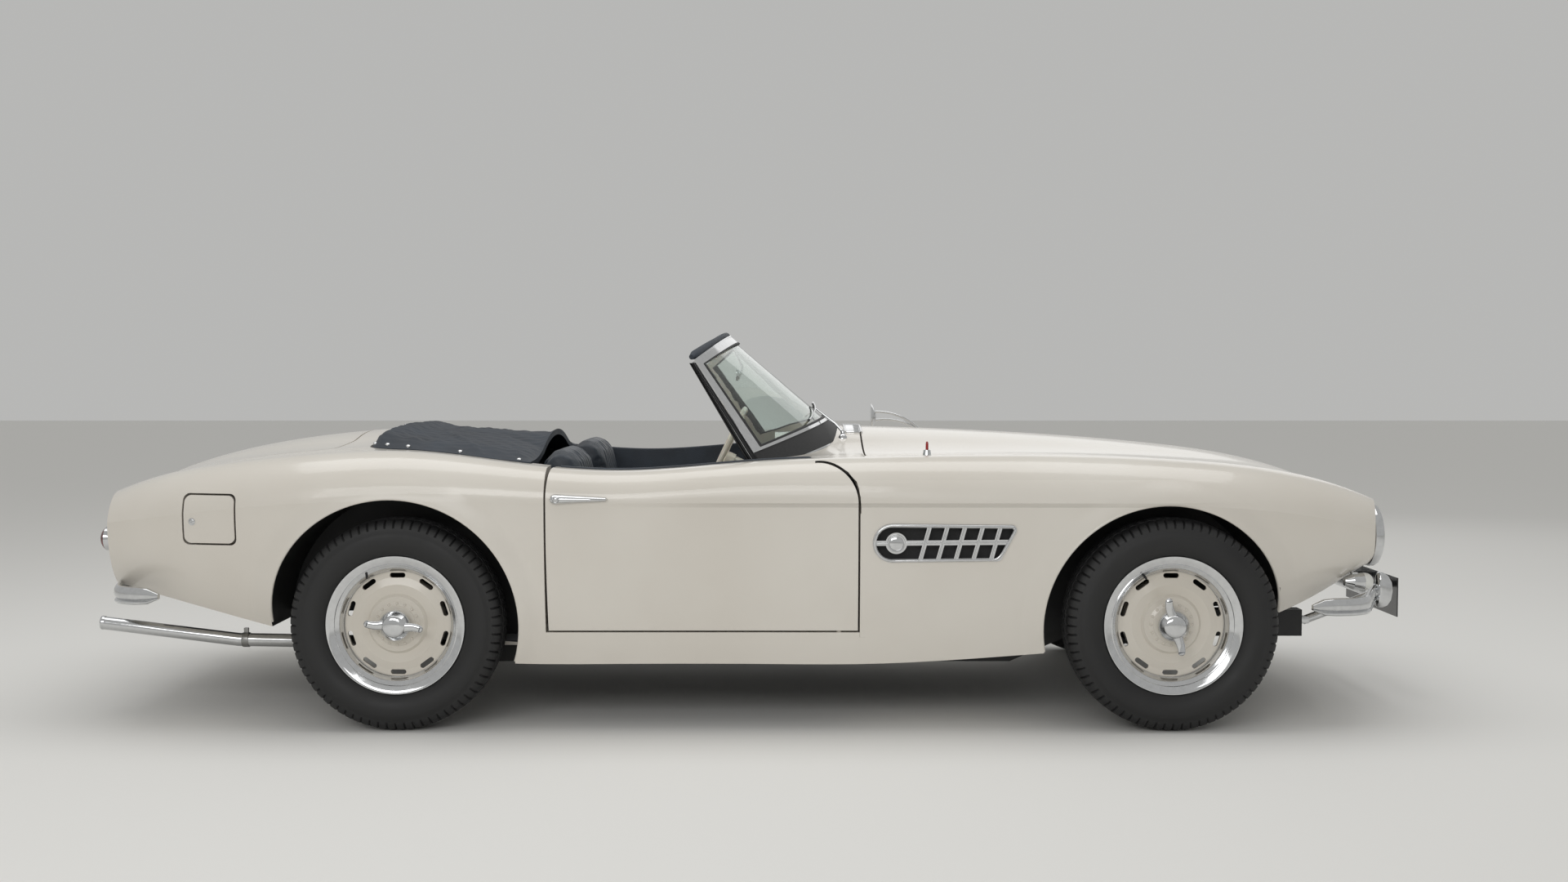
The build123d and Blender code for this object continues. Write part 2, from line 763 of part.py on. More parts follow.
def wheel(x, track_y, side, hub_from):
    """A pressed steel disc in a stepped rim, with its hub, brake drum and eared nut."""

    def at(radius, outward):
        return (x + radius, side * (track_y + outward))

    with BuildPart() as disc:
        with BuildSketch(Plane.XY.offset(axle_z)):
            with BuildLine():
                Polyline(
                    at(0, 62), at(30, 62), at(34, 40), at(58, 38), at(66, 28), at(88, 30), at(96, 20),
                    at(126, 27), at(150, 21), at(178, 16), at(187, 24), at(190, 50), at(204, 50),
                    at(204, 59), at(218, 62), at(218, 67), at(196, 60), at(180, 52), at(178, 26),
                    at(168, 28), at(150, 30), at(126, 36), at(96, 30), at(88, 40), at(66, 38),
                    at(58, 48), at(36, 50), at(36, 70), at(0, 74), close=True,
                )
            make_face()
        revolve(axis=Axis((x, 0, axle_z), (0, 1, 0)))
        with BuildSketch(Plane.XY.offset(axle_z)):
            with BuildLine():
                Polyline(
                    at(186, 30), at(192, 56), at(205, 56), at(205, -56), at(218, -62), at(218, -66),
                    at(200, -66), at(186, -50), close=True,
                )
            make_face()
        revolve(axis=Axis((x, 0, axle_z), (0, 1, 0)))
        with BuildSketch(Plane.XY.offset(axle_z)):
            with BuildLine():
                Polyline(
                    at(spindle_radius + fit_gap, hub_from), at(drum_radius - drum_wall, hub_from),
                    at(drum_radius - drum_wall, -50), at(drum_radius, -50), at(drum_radius, 22),
                    at(96, 26), at(58, 46), at(0, 46), at(0, 34), at(spindle_radius + fit_gap, 34), close=True,
                )
            make_face()
        revolve(axis=Axis((x, 0, axle_z), (0, 1, 0)))
        low, high = sorted((side * (track_y + 10), side * (track_y + 60)))
        with BuildSketch(Plane(origin=(x, low, axle_z), x_dir=(1, 0, 0), z_dir=(0, -1, 0))):
            with PolarLocations(slot_ring_radius, slot_count, start_angle=18):
                SlotOverall(50, 16, rotation=90)
        extrude(amount=-(high - low), mode=Mode.SUBTRACT)
    return disc.part


def tyre(x, track_y, side):
    def at(radius, outward):
        return (x + radius, side * (track_y + outward))

    half = tyre_width / 2
    with BuildPart() as ring:
        with BuildSketch(Plane.XY.offset(axle_z)):
            with BuildLine():
                Line(at(218.5, -58), at(205.5, -54))
                Line(at(205.5, -54), at(205.5, 54))
                Line(at(205.5, 54), at(218.5, 58))
                ThreePointArc(at(218.5, 58), at(262, half), at(305, half - 8))
                ThreePointArc(at(305, half - 8), at(330, 72), at(tyre_radius - 3, 52))
                ThreePointArc(at(tyre_radius - 3, 52), at(tyre_radius, 0), at(tyre_radius - 3, -52))
                ThreePointArc(at(tyre_radius - 3, -52), at(330, -72), at(305, -half + 8))
                ThreePointArc(at(305, -half + 8), at(262, -half), at(218.5, -58))
            make_face()
        revolve(axis=Axis((x, 0, axle_z), (0, 1, 0)))
    return ring.part


for end, x, track_y, hub_from in (("front", front_axle_x, front_wheel_y, -15), ("rear", rear_axle_x, rear_wheel_y, -15)):
    for hand, side in (("left", 1), ("right", -1)):
        finish(f"wheel_{end}_{hand}", wheel(x, track_y, side, hub_from))
        finish(f"tyre_{end}_{hand}", tyre(x, track_y, side))

# ---------------------------------------------------------------- windscreen
screen_corner_low = (-18, 622, 866)
screen_middle_low = (247, 0, 958)
screen_corner_high = (-222, 550, 1182)
screen_middle_high = (-121, 0, 1268)
screen_frame_depth = 22
glass_thickness = 5


def screen_slice(height, spread, outer, inner):
    """A level crescent of the windscreen: height and spread are shares of its own size."""
    corner = [a + height * (b - a) for a, b in zip(screen_corner_low, screen_corner_high)]
    middle = [a + height * (b - a) for a, b in zip(screen_middle_low, screen_middle_high)]
    bulge = sqrt((middle[0] - corner[0]) ** 2 + (middle[2] - corner[2]) ** 2)
    radius = (corner[1] ** 2 + bulge**2) / (2 * bulge)
    half_angle = spread * asin(corner[1] / radius)
    centre = bulge - radius
    forward = ((middle[0] - corner[0]) / bulge, 0, (middle[2] - corner[2]) / bulge)
    upward = (-forward[2], 0, forward[0])

    def at(angle, shift):
        return ((radius + shift) * sin(angle), centre + (radius + shift) * cos(angle))

    plane = Plane(origin=(corner[0], 0, corner[2]), x_dir=(0, -1, 0), z_dir=upward)
    with BuildSketch(plane) as crescent:
        with BuildLine():
            ThreePointArc(at(-half_angle, outer), at(0, outer), at(half_angle, outer))
            Line(at(half_angle, outer), at(half_angle, inner))
            ThreePointArc(at(half_angle, inner), at(0, inner), at(-half_angle, inner))
            Line(at(-half_angle, inner), at(-half_angle, outer))
        make_face()
    return crescent.sketch


def screen_panel(low, high, spread, outer, inner):
    with BuildPart() as panel:
        loft([screen_slice(low, spread, outer, inner), screen_slice(high, spread, outer, inner)], ruled=True)
    return panel.part


with BuildPart() as windscreen_frame:
    add(screen_panel(-0.14, 1.0, 1.0, screen_frame_depth / 2, -screen_frame_depth / 2))
    add(screen_panel(0.08, 0.93, 0.94, 40, -40), mode=Mode.SUBTRACT)
    add(Pos(0, 0, fit_gap) * skin.part, mode=Mode.SUBTRACT)
finish("windscreen_frame", windscreen_frame.part)

with BuildPart() as windscreen_glass:
    add(screen_panel(0.0812, 0.9288, 0.9388, glass_thickness / 2, -glass_thickness / 2))
finish("windscreen_glass", windscreen_glass.part)

# ---------------------------------------------------------------- inside the cabin
with BuildPart() as dashboard:
    add(
        profile_y(
            [(45, 690), (110, 690), (150, 770), (340, 830), (340, 1000), (45, 1000)],
            (-612, 612),
        )
    )
    add(lowered(sheet + fit_gap), mode=Mode.INTERSECT)
    fillet(dashboard.edges().filter_by(Axis.Y).sort_by(Axis.X)[0:2], 20)
finish("dashboard", dashboard.part)

seat_inner_y = 140
seat_outer_y = 592


def seat(side):
    """One bucket seat: a low cushion and an upright back."""
    y_range = sorted((side * seat_inner_y, side * seat_outer_y))
    with BuildPart() as cushion:
        add(
            profile_y(
                [(-600, floor_top_z + fit_gap), (-120, floor_top_z + fit_gap), (-95, 425), (-600, 395)],
                y_range,
            )
        )
        fillet(cushion.edges().filter_by(Axis.Y).group_by(Axis.Z)[-1], 35)
    with BuildPart() as back:
        add(profile_y([(-720, 330), (-600, 330), (-570, 640), (-612, 905), (-690, 922), (-735, 880)], y_range))
        fillet(back.edges().filter_by(Axis.Y).group_by(Axis.Z)[-1], 20)
    with BuildPart() as whole:
        add(cushion.part)
        add(back.part)
    return whole.part


finish_pair("seat", seat(1))

wheel_centre = (-161, 370, 816)
wheel_tilt = 25
steering_rim_radius = 205
column_direction = (cos(radians(wheel_tilt)), 0, -sin(radians(wheel_tilt)))
steering_plane = Plane(origin=wheel_centre, x_dir=(0, 1, 0), z_dir=column_direction)
with BuildPart() as steering_wheel:
    with BuildSketch(Plane(origin=wheel_centre, x_dir=(0, 1, 0), z_dir=(sin(radians(wheel_tilt)), 0, cos(radians(wheel_tilt))))):
        with Locations((steering_rim_radius, 0)):
            Circle(11)
    revolve(axis=Axis(wheel_centre, column_direction))
    with BuildSketch(steering_plane.offset(12)):
        Circle(32)
    extrude(amount=34)
    with BuildSketch(steering_plane.offset(4)):
        with PolarLocations(0, 3, start_angle=90):
            with Locations((105, 0)):
                Rectangle(200, 22)
    extrude(amount=10)
finish("steering_wheel", steering_wheel.part)

with BuildPart() as steering_column:
    with BuildSketch(steering_plane.offset(46.3)):
        Circle(26)
    extrude(amount=193)
    add(dashboard.part, mode=Mode.SUBTRACT)
finish("steering_column", steering_column.part)

with BuildPart() as levers:
    with BuildSketch(Plane.XY.offset(tunnel_top_z)):
        with Locations((-60, 0)):
            Circle(34)
    extrude(amount=24, taper=30)
    with BuildSketch(Plane.XY.offset(tunnel_top_z + 20)):
        with Locations((-60, 0)):
            Circle(8)
    extrude(amount=190)
    with Locations((-60, 0, tunnel_top_z + 220)):
        Sphere(22)
finish("levers", levers.part)

# ---------------------------------------------------------------- lamps
headlamp_y = 565
headlamp_z = 612
headlamp_radius = 104


def lamp(points, tip_x, y, z):
    """A round lamp turned about a fore-and-aft line; points are x and radius, back to rim."""
    with BuildPart() as body:
        with BuildSketch(Plane(origin=(0, y, z), x_dir=(1, 0, 0), z_dir=(0, -1, 0))):
            with BuildLine():
                Polyline((points[0][0], 0), *points)
                dome(points[-1], tip_x)
                Line((tip_x, 0), (points[0][0], 0))
            make_face()
        revolve(axis=Axis((0, y, z), (1, 0, 0)))
    return body.part


with BuildPart() as headlamps:
    for side in (1, -1):
        add(lamp([(1990, 98), (2026, headlamp_radius)], 2051, side * headlamp_y, headlamp_z))
    add(Pos(fit_gap, 0, 0) * skin.part, mode=Mode.SUBTRACT)
finish("headlamps", headlamps.part)

indicator_y = 618
indicator_z = 461
indicator_seat_z = 491.6  # lowest point of the wing above the foot, less the fit gap
with BuildPart() as indicators:
    for side in (1, -1):
        add(side_box(side, (1941, 1959), (indicator_y - 9, indicator_y + 9), (476, indicator_seat_z)))
        add(lamp([(1918, 14), (1945, 27), (1980, 28)], 2013, side * indicator_y, indicator_z))
finish("indicators", indicators.part)

with BuildPart() as tail_lamps:
    for side in (1, -1):
        add(mirror(lamp([(2115, 38), (2148, 40)], 2168, side * 600, 601), about=Plane.YZ))
    add(Pos(-fit_gap, 0, 0) * body_ends.part, mode=Mode.SUBTRACT)
finish("tail_lamps", tail_lamps.part)

# ---------------------------------------------------------------- bumpers
front_bumper_z = 391
rear_bumper_z = 428
bumper_height = 58
bumper_depth = 22


def blade(points, radii, z):
    """A bumper blade bent along a plan line."""
    with BuildPart() as bar:
        with BuildLine() as path:
            FilletPolyline(*[(x, y, z) for x, y in points], radius=radii)
        start = path.line @ 0
        along = path.line % 0
        with BuildSketch(Plane(origin=start, x_dir=(0, 0, 1), z_dir=along)):
            RectangleRounded(bumper_height, bumper_depth, 9)
        sweep(path=path.line)
    return bar.part


front_blade_points = [(1778, -735), (1960, -712), (2122, -330), (2122, 330), (1960, 712), (1778, 735)]
rear_blade_points = [(-1930, -742), (-2080, -716), (-2190, -330), (-2190, 330), (-2080, 716), (-1930, 742)]
blade_radii = [120, 300, 300, 120]
with BuildPart() as front_bumper:
    add(blade(front_blade_points, blade_radii, front_bumper_z))
    for side in (1, -1):
        y_range = sorted((side * 350, side * 390))
        add(box_between((2110, y_range[0], 345), (2168, y_range[1], 455)))
        y_range = sorted((side * 355, side * 385))
        add(profile_y([(1850.3, 272), (2115, 378), (2115, 404), (1850.3, 308)], y_range))
finish("front_bumper", front_bumper.part)

with BuildPart() as rear_bumper:
    add(blade(rear_blade_points, blade_radii, rear_bumper_z))
    for side in (1, -1):
        y_range = sorted((side * 350, side * 390))
        add(box_between((-2206, y_range[0], 378), (-2170, y_range[1], 490)))
        y_range = sorted((side * 355, side * 385))
        add(box_between((-2185, y_range[0], 392), (-1960, y_range[1], 425)))
    add(Pos(0, 0, -fit_gap) * skin.part, mode=Mode.SUBTRACT)
    add(skin.part, mode=Mode.SUBTRACT)
finish("rear_bumper", rear_bumper.part)

with BuildPart() as number_plate:
    add(box_between((2226, -260, 289), (2230, 260, 426)))
    for side in (1, -1):
        y_range = sorted((side * 120, side * 150))
        add(box_between((2133.3, y_range[0], 380), (2226, y_range[1], 400)))
finish("number_plate", number_plate.part)

# ---------------------------------------------------------------- exhaust
pipe_radius = 22
pipe_y = 252


def pipe(side):
    with BuildPart() as run:
        with BuildLine() as path:
            FilletPolyline(
                (-2219, side * 480, 303),
                (-1760, side * 480, 246),
                (-1330, side * 480, 238),
                (-1010, side * pipe_y, 180),
                (-800, side * pipe_y, 172),
                (800, side * pipe_y, 172),
                (800, side * pipe_y, 400 - fit_gap),
                radius=[150, 120, 120, 120, 90],
            )
        with BuildSketch(Plane(origin=path.line @ 0, z_dir=path.line % 0)):
            Circle(pipe_radius)
        sweep(path=path.line)
        with BuildSketch(Plane.YZ.offset(-640)):
            with Locations((side * pipe_y, 172)):
                Ellipse(78, 32)
        extrude(amount=600)
    return run.part


with BuildPart() as exhaust:
    for side in (1, -1):
        add(pipe(side))
finish("exhaust", exhaust.part)

# ---------------------------------------------------------------- small outside pieces
mirror_centre = (431, 600, 967)
mirror_foot = (644, 632)
mirror_seat_z = 879.6  # top of the wing under the foot, plus the fit gap
with BuildPart() as wing_mirror:
    with BuildSketch(Plane.XY.offset(mirror_seat_z)):
        with Locations(mirror_foot):
            Circle(17)
    extrude(amount=16)
    for start_z in (985, 950):
        with BuildLine() as arm:
            ThreePointArc(
                (433, 600, start_z), (560, 618, (start_z + 905) / 2 + 14), (*mirror_foot, 888)
            )
        with BuildSketch(Plane(origin=arm.line @ 0, z_dir=arm.line % 0)):
            Circle(5)
        sweep(path=arm.line)
    with BuildSketch(Plane(origin=mirror_centre, x_dir=(1, 0, 0), z_dir=(0, -1, 0))):
        with BuildLine():
            Line((-6, 0), (-6, 54))
            dome((-6, 54), 16)
            Line((16, 0), (-6, 0))
        make_face()
    revolve(axis=Axis(mirror_centre, (1, 0, 0)))
finish("wing_mirror", wing_mirror.part)

with BuildPart() as aerial:
    with BuildSketch(Plane.XY.offset(860)):
        with Locations((545, -630)):
            Circle(17)
    extrude(amount=34, taper=10)
    with BuildSketch(Plane.XY.offset(880)):
        with Locations((545, -630)):
            Circle(4)
    extrude(amount=37)
    add(Pos(0, 0, fit_gap) * skin.part, mode=Mode.SUBTRACT)
finish("aerial", aerial.part)

with BuildPart() as door_handle_left:
    with BuildSketch(Plane.XZ.offset(-790)):
        with BuildLine():
            ThreePointArc((-646, 762), (-665, 746), (-646, 730))
            Line((-646, 730), (-485, 740))
            ThreePointArc((-485, 740), (-481, 745), (-485, 750))
            Line((-485, 750), (-646, 762))
        make_face()
    extrude(amount=-34)
    fillet(door_handle_left.edges().group_by(Axis.Y)[-1], 2)
    add(Pos(0, fit_gap, 0) * skin.part, mode=Mode.SUBTRACT)
finish_pair("door_handle", door_handle_left.part)

# ---------------------------------------------------------------- grilles
grille_bars = 13
grille_depth = 16
grille_rail = 9


def grille_front_x(y):
    """Where the grille's bars end, just inside the curved face of the nose."""
    return nose_x_middle - (nose_x_middle - nose_x_side) * (y / 720) ** 2 - 12


def grille(side):
    """One wide mouth's bright upright bars between a lower and an upper rail."""
    low = grille_low_z + fit_gap
    high = grille_high_z - fit_gap
    pitch = (grille_outer_y - grille_inner_y) / grille_bars
    with BuildPart() as mouth:
        for row in range(grille_bars):
            y = grille_inner_y + (row + 0.5) * pitch
            front_x = grille_front_x(y)
            add(side_box(side, (front_x - grille_depth, front_x), (y - 4, y + 4), (low, high)))
        for z_range in ((low, low + grille_rail), (high - grille_rail, high)):
            with BuildSketch(Plane.XY.offset(z_range[0])):
                with BuildLine():
                    front = [
                        (grille_front_x(y), side * y)
                        for y in (grille_inner_y + 4, (grille_inner_y + grille_outer_y) / 2, grille_outer_y - 4)
                    ]
                    back = [(x - grille_depth, y) for x, y in front]
                    ThreePointArc(*front)
                    Line(front[2], back[2])
                    ThreePointArc(*back[::-1])
                    Line(back[0], front[0])
                make_face()
            extrude(amount=grille_rail)
    return mouth.part


with BuildPart() as grilles:
    add(grille(1))
    add(grille(-1))
finish("grilles", grilles.part)

with BuildPart() as vent_bars:
    add(profile_y([(360, 598), (360, 614), (840, 618), (840, 602)], (vent_recess_y, 860)))
    for row in range(5):
        foot = 500 + row * 56
        add(profile_y([(foot, 540), (foot + 14, 540), (foot + 50, 672), (foot + 36, 672)], (vent_recess_y, 860)))
    with BuildSketch(Plane.XZ.offset(-vent_recess_y)):
        with Locations((vent_round[0] + 12, vent_round[1])):
            Circle(34)
    extrude(amount=-90)
    add(vent_prism(vent_frame - 1, vent_recess_y), mode=Mode.INTERSECT)

with BuildPart() as side_vent:
    add(vent_prism(fit_gap, vent_recess_y + fit_gap))
    add(vent_prism(vent_frame, vent_recess_y), mode=Mode.SUBTRACT)
    add(vent_bars.part)
    add(Pos(0, 5, 0) * skin.part, mode=Mode.INTERSECT)
with BuildPart() as side_vents:
    add(side_vent.part)
    add(mirror(side_vent.part, about=Plane.XZ))
finish("side_vents", side_vents.part)
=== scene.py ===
import math
import bpy
import bmesh
from mathutils import Matrix, Vector
from mathutils.bvhtree import BVHTree


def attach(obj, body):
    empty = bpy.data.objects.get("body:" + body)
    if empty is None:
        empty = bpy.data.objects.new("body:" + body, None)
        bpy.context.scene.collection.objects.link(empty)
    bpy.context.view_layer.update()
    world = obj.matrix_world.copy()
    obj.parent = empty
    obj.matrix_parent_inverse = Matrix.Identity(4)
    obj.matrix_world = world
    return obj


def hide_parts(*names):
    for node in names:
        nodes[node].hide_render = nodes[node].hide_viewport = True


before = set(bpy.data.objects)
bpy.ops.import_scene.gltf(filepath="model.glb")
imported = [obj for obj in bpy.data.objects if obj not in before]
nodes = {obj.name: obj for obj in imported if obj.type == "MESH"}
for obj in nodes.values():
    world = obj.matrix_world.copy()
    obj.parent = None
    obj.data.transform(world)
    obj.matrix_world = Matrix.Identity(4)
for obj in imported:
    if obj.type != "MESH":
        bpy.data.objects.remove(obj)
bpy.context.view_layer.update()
hands = (("left", 1), ("right", -1))
print("frame loaded:", len(nodes), "nodes")


# small tools

def linear(hexColour):
    # sRGB hex to the linear colour that the shader works in
    values = [int(hexColour[i:i + 2], 16) / 255 for i in (1, 3, 5)]
    return [v / 12.92 if v <= 0.04045 else ((v + 0.055) / 1.055) ** 2.4 for v in values] + [1.0]


def addNode(tree, kind, settings=None, inputs=None):
    # one node with its settings; an input is a value or a (node, output) pair
    node = tree.nodes.new(kind)
    for name, value in (settings or {}).items():
        setattr(node, name, value)
    for name, value in (inputs or {}).items():
        if isinstance(value, tuple) and hasattr(value[0], "outputs"):
            tree.links.new(value[0].outputs[value[1]], node.inputs[name])
        else:
            node.inputs[name].default_value = value
    return node


def newMaterial(name, shader):
    # a material with one Principled shader and the values of its sockets
    material = bpy.data.materials.new(name)
    material.use_nodes = True
    for socket, value in shader.items():
        material.node_tree.nodes["Principled BSDF"].inputs[socket].default_value = value
    return material


def feed(tree, node, output, socket):
    tree.links.new(node.outputs[output], tree.nodes["Principled BSDF"].inputs[socket])


def texture(tree, kind, settings=None, inputs=None):
    # a texture laid in the piece's own coordinates
    coords = tree.nodes.get("Texture Coordinate") or addNode(tree, "ShaderNodeTexCoord")
    return addNode(tree, kind, settings, {"Vector": (coords, "Object"), **(inputs or {})})


def ramp(tree, factor, stops):
    node = addNode(tree, "ShaderNodeValToRGB", inputs={"Fac": factor})
    elements = node.color_ramp.elements
    for index, (position, colour) in enumerate(stops):
        element = elements[index] if index < 2 else elements.new(position)
        element.position = position
        element.color = linear(colour) if isinstance(colour, str) else (colour, colour, colour, 1)
    return node


def bump(tree, height, strength, distance, under=None):
    # relief in metres on the shader; under is a relief that this one lies on
    node = addNode(tree, "ShaderNodeBump", inputs={
        "Height": height, "Strength": strength, "Distance": distance,
    })
    if under:
        tree.links.new(under.outputs["Normal"], node.inputs["Normal"])
    feed(tree, node, "Normal", "Normal")
    return node


def smoothStep(tree, value, start, end, top=1.0):
    return addNode(tree, "ShaderNodeMapRange", {"interpolation_type": "SMOOTHSTEP"}, {
        "Value": value, "From Min": start, "From Max": end, "To Max": top,
    })


def maths(tree, operation, a, b):
    return addNode(tree, "ShaderNodeMath", {"operation": operation}, {0: a, 1: b}), "Value"


# finishes

def mottled(name, shader, tone=None, rough=None, relief=None):
    # colour, roughness and relief follow noise. tone and rough are scale, detail and two stops;
    # relief is scale, detail, strength and distance
    material = newMaterial(name, shader)
    tree = material.node_tree
    clouds = {}

    def cloud(*pattern):
        if pattern not in clouds:
            sizes = dict(zip(("Scale", "Detail"), pattern))
            clouds[pattern] = texture(tree, "ShaderNodeTexNoise", None, sizes)
        return clouds[pattern], "Fac"

    for socket, follow in (("Base Color", tone), ("Roughness", rough)):
        if follow:
            node = ramp(tree, cloud(*follow[:2]), [follow[2:4], follow[4:]])
            feed(tree, node, "Color", socket)
    if relief:
        bump(tree, cloud(*relief[:2]), *relief[2:])
    return material


def enamel(name, base, shade):
    # sprayed and polished cellulose enamel: warm white, soft clear depth, and faint orange peel
    # of 4 mm, coarser than the real 1 mm so that it shows
    return mottled(
        name, {"Roughness": 0.26, "IOR": 1.5, "Coat Weight": 0.6, "Coat Roughness": 0.07},
        tone=(1.6, 3.0, 0.35, shade, 0.65, base), relief=(250.0, 2.0, 0.04, 0.0004),
    )


arches = {
    "front": {"x": 1.300, "z": 0.334, "radius": 0.395, "wall": 0.452},
    "rear": {"x": -1.174, "z": 0.341, "radius": 0.408, "wall": 0.462},
}
# the flank's pressed edge, which fades out at both ends, and the swell round each arch
pressing = {
    "low": 0.655, "high": 0.805, "step": 0.009, "fore": (1.62, 1.15), "aft": (-0.75, 0.1),
    "flare": 0.013, "flareFrom": 0.075, "flareTo": -0.010,
}


def pressPanels(tree):
    # the step along the flank, then the arches' swell on top of it, as relief in the paint
    axes = texture(tree, "ShaderNodeSeparateXYZ")
    height = addNode(tree, "ShaderNodeMapRange", inputs={
        "Value": (axes, "Z"), "From Min": pressing["low"], "From Max": pressing["high"],
    })
    step = ramp(tree, (height, "Result"), [(0.0, 0.0), (0.43, 0.0), (0.52, 1.0), (1.0, 0.0)])
    fore, aft = [smoothStep(tree, (axes, "X"), *pressing[end]) for end in ("fore", "aft")]
    ends = maths(tree, "MULTIPLY", (fore, "Result"), (aft, "Result"))
    raised = maths(tree, "MULTIPLY", maths(tree, "MULTIPLY", (step, "Color"), ends), pressing["step"])
    for arch in arches.values():
        side = texture(tree, "ShaderNodeVectorMath", {"operation": "MULTIPLY_ADD"}, {
            1: (1, 0, 1), 2: (-arch["x"], 0, -arch["z"]),
        })
        away = addNode(tree, "ShaderNodeVectorMath", {"operation": "LENGTH"}, {0: (side, "Vector")})
        reach = [arch["radius"] + pressing[end] for end in ("flareFrom", "flareTo")]
        flare = smoothStep(tree, (away, "Value"), *reach, pressing["flare"])
        raised = maths(tree, "ADD", raised, (flare, "Result"))
    bump(tree, raised, 1.0, 1.0, tree.nodes["Bump"])


def hide(name, base, light, grainSize=0.004, strength=0.35, roughness=0.42):
    # dyed and glazed cowhide: satin, with pebbled grain cells and paler wear in random patches
    material = mottled(
        name, {"IOR": 1.5, "Specular IOR Level": 0.45}, tone=(7.0, 6.0, 0.35, base, 0.75, light),
        rough=(7.0, 6.0, 0.3, roughness - 0.08, 0.8, roughness + 0.12),
    )
    tree = material.node_tree
    cells = texture(tree, "ShaderNodeTexVoronoi", {"feature": "DISTANCE_TO_EDGE"}, {
        "Scale": 1 / grainSize, "Randomness": 1.0,
    })
    pebble = ramp(tree, (cells, "Distance"), [(0.0, 0.0), (0.25, 1.0)])
    bump(tree, (pebble, "Color"), strength, 0.0008)
    return material


def loopCarpet():
    # woven wool loop carpet: matt, 5 mm loops, each loop lighter in its middle and darker at its edge, which is
    # painted shade between the loops
    material = newMaterial("woolLoopCarpet", {"Roughness": 0.95, "Sheen Weight": 0.3})
    tree = material.node_tree
    loops = texture(tree, "ShaderNodeTexVoronoi", None, {"Scale": 200.0})
    # tone from each loop's middle to its edge: painted shade between the loops
    feed(tree, ramp(tree, (loops, "Distance"), [(0.0, "#2B3039"), (0.8, "#14171C")]), "Color", "Base Color")
    bump(tree, (loops, "Distance"), 0.6, 0.002)
    return material


def lensGlass(name, tint, flute, clear=0.85, relief=0.5):
    # pressed lamp glass: clear, dyed or opal, with upright flutes moulded inside
    material = newMaterial(name, {
        "Transmission Weight": clear, "IOR": 1.49, "Base Color": linear(tint), "Roughness": 0.08,
    })
    flutes = texture(
        material.node_tree, "ShaderNodeTexWave", {"bands_direction": "Y", "wave_profile": "SIN"},
        {"Scale": 0.314 / flute, "Distortion": 0.0},
    )
    bump(material.node_tree, (flutes, "Fac"), relief, 0.001)
    return material


paint = enamel("ivoryCelluloseEnamel", "#DFDAD1", "#D8D2C8")
pressPanels(paint.node_tree)
wheelPaint = enamel("ivoryWheelEnamel", "#DBD5CA", "#D3CCC0")
# buffed chrome plate over steel: mirror with faint polishing haze
chrome = mottled(
    "polishedChromePlate", {"Metallic": 1.0},
    tone=(60.0, 4.0, 0.3, "#DADBDC", 0.75, "#CFD0D1"), rough=(60.0, 4.0, 0.3, 0.06, 0.75, 0.16),
)
# moulded carbon-black rubber: near black, dull, with mould grain of 2 mm, coarser than real
rubber = mottled(
    "mouldedTyreRubber", {"IOR": 1.5}, tone=(9.0, 5.0, 0.3, "#19191A", 0.75, "#262626"),
    rough=(9.0, 5.0, 0.3, 0.5, 0.75, 0.72), relief=(500.0, 2.0, 0.25, 0.0006),
)
leather = hide("glazedBlueGreyHide", "#262C34", "#39414B")
coverCloth = hide("coatedHoodCloth", "#2A3038", "#3C434C", 0.003, 0.25, 0.6)
carpet = loopCarpet()
# brushed-on chassis black over pressed steel: satin, lightly dusted
chassisBlack = mottled(
    "brushedChassisBlack", {"IOR": 1.5}, tone=(6.0, 8.0, 0.3, "#17181A", 0.8, "#2A2A29"),
    rough=(6.0, 8.0, 0.3, 0.4, 0.8, 0.65), relief=(6.0, 8.0, 0.15, 0.001),
)
# sand-cast aluminium: pale grey, granular skin
alloy = mottled(
    "sandCastAluminium", {"Metallic": 1.0}, tone=(5.0, 4.0, 0.3, "#8E9092", 0.8, "#B9BABB"),
    rough=(400.0, 4.0, 0.2, 0.35, 0.8, 0.6), relief=(400.0, 4.0, 0.5, 0.001),
)
# laminated safety glass: clear with a slight green cast and a trace of dust
glass = mottled(
    "laminatedGlass", {"Transmission Weight": 1.0, "IOR": 1.45, "Base Color": linear("#EAF2EE")},
    rough=(12.0, 5.0, 0.4, 0.0, 0.9, 0.05),
)
lampGlass = lensGlass("flutedHeadlampGlass", "#F6F8F6", 0.012, 0.93, 0.3)
redLens = lensGlass("dyedRedLampGlass", "#9C0E0A", 0.006)
whiteLens = lensGlass("opalLampGlass", "#EFEFEA", 0.006, 0.12, 0.3)
# moulded ivory phenolic, polished: smooth, slightly translucent and yellowed
ivory = mottled(
    "polishedIvoryPhenolic", {"Roughness": 0.22, "IOR": 1.54, "Subsurface Weight": 0.08, "Coat Weight": 0.3},
    tone=(14.0, 3.0, 0.3, "#D8D1C0", 0.7, "#E2DCCD"),
)
# extruded sealing rubber: black, satin, faint die lines
seal = mottled(
    "extrudedSealRubber", {"Roughness": 0.55, "IOR": 1.5},
    tone=(120.0, 3.0, 0.3, "#0F0F10", 0.8, "#1B1B1C"), relief=(120.0, 3.0, 0.2, 0.0005),
)
# stove-enamelled number plate blank: glossy black, slightly wavy
blackPlate = mottled(
    "stoveEnamelBlack", {"Roughness": 0.25, "IOR": 1.5, "Coat Weight": 0.4},
    tone=(18.0, 2.0, 0.3, "#111214", 0.8, "#1A1B1D"), relief=(18.0, 2.0, 0.1, 0.001),
)
# drawn and dulled stainless steel: soft grey, faintly blued by heat
steel = mottled(
    "drawnStainlessSteel", {"Metallic": 1.0},
    tone=(4.0, 5.0, 0.3, "#8C8B88", 0.75, "#A9A9A8"), rough=(4.0, 5.0, 0.3, 0.28, 0.75, 0.42),
)
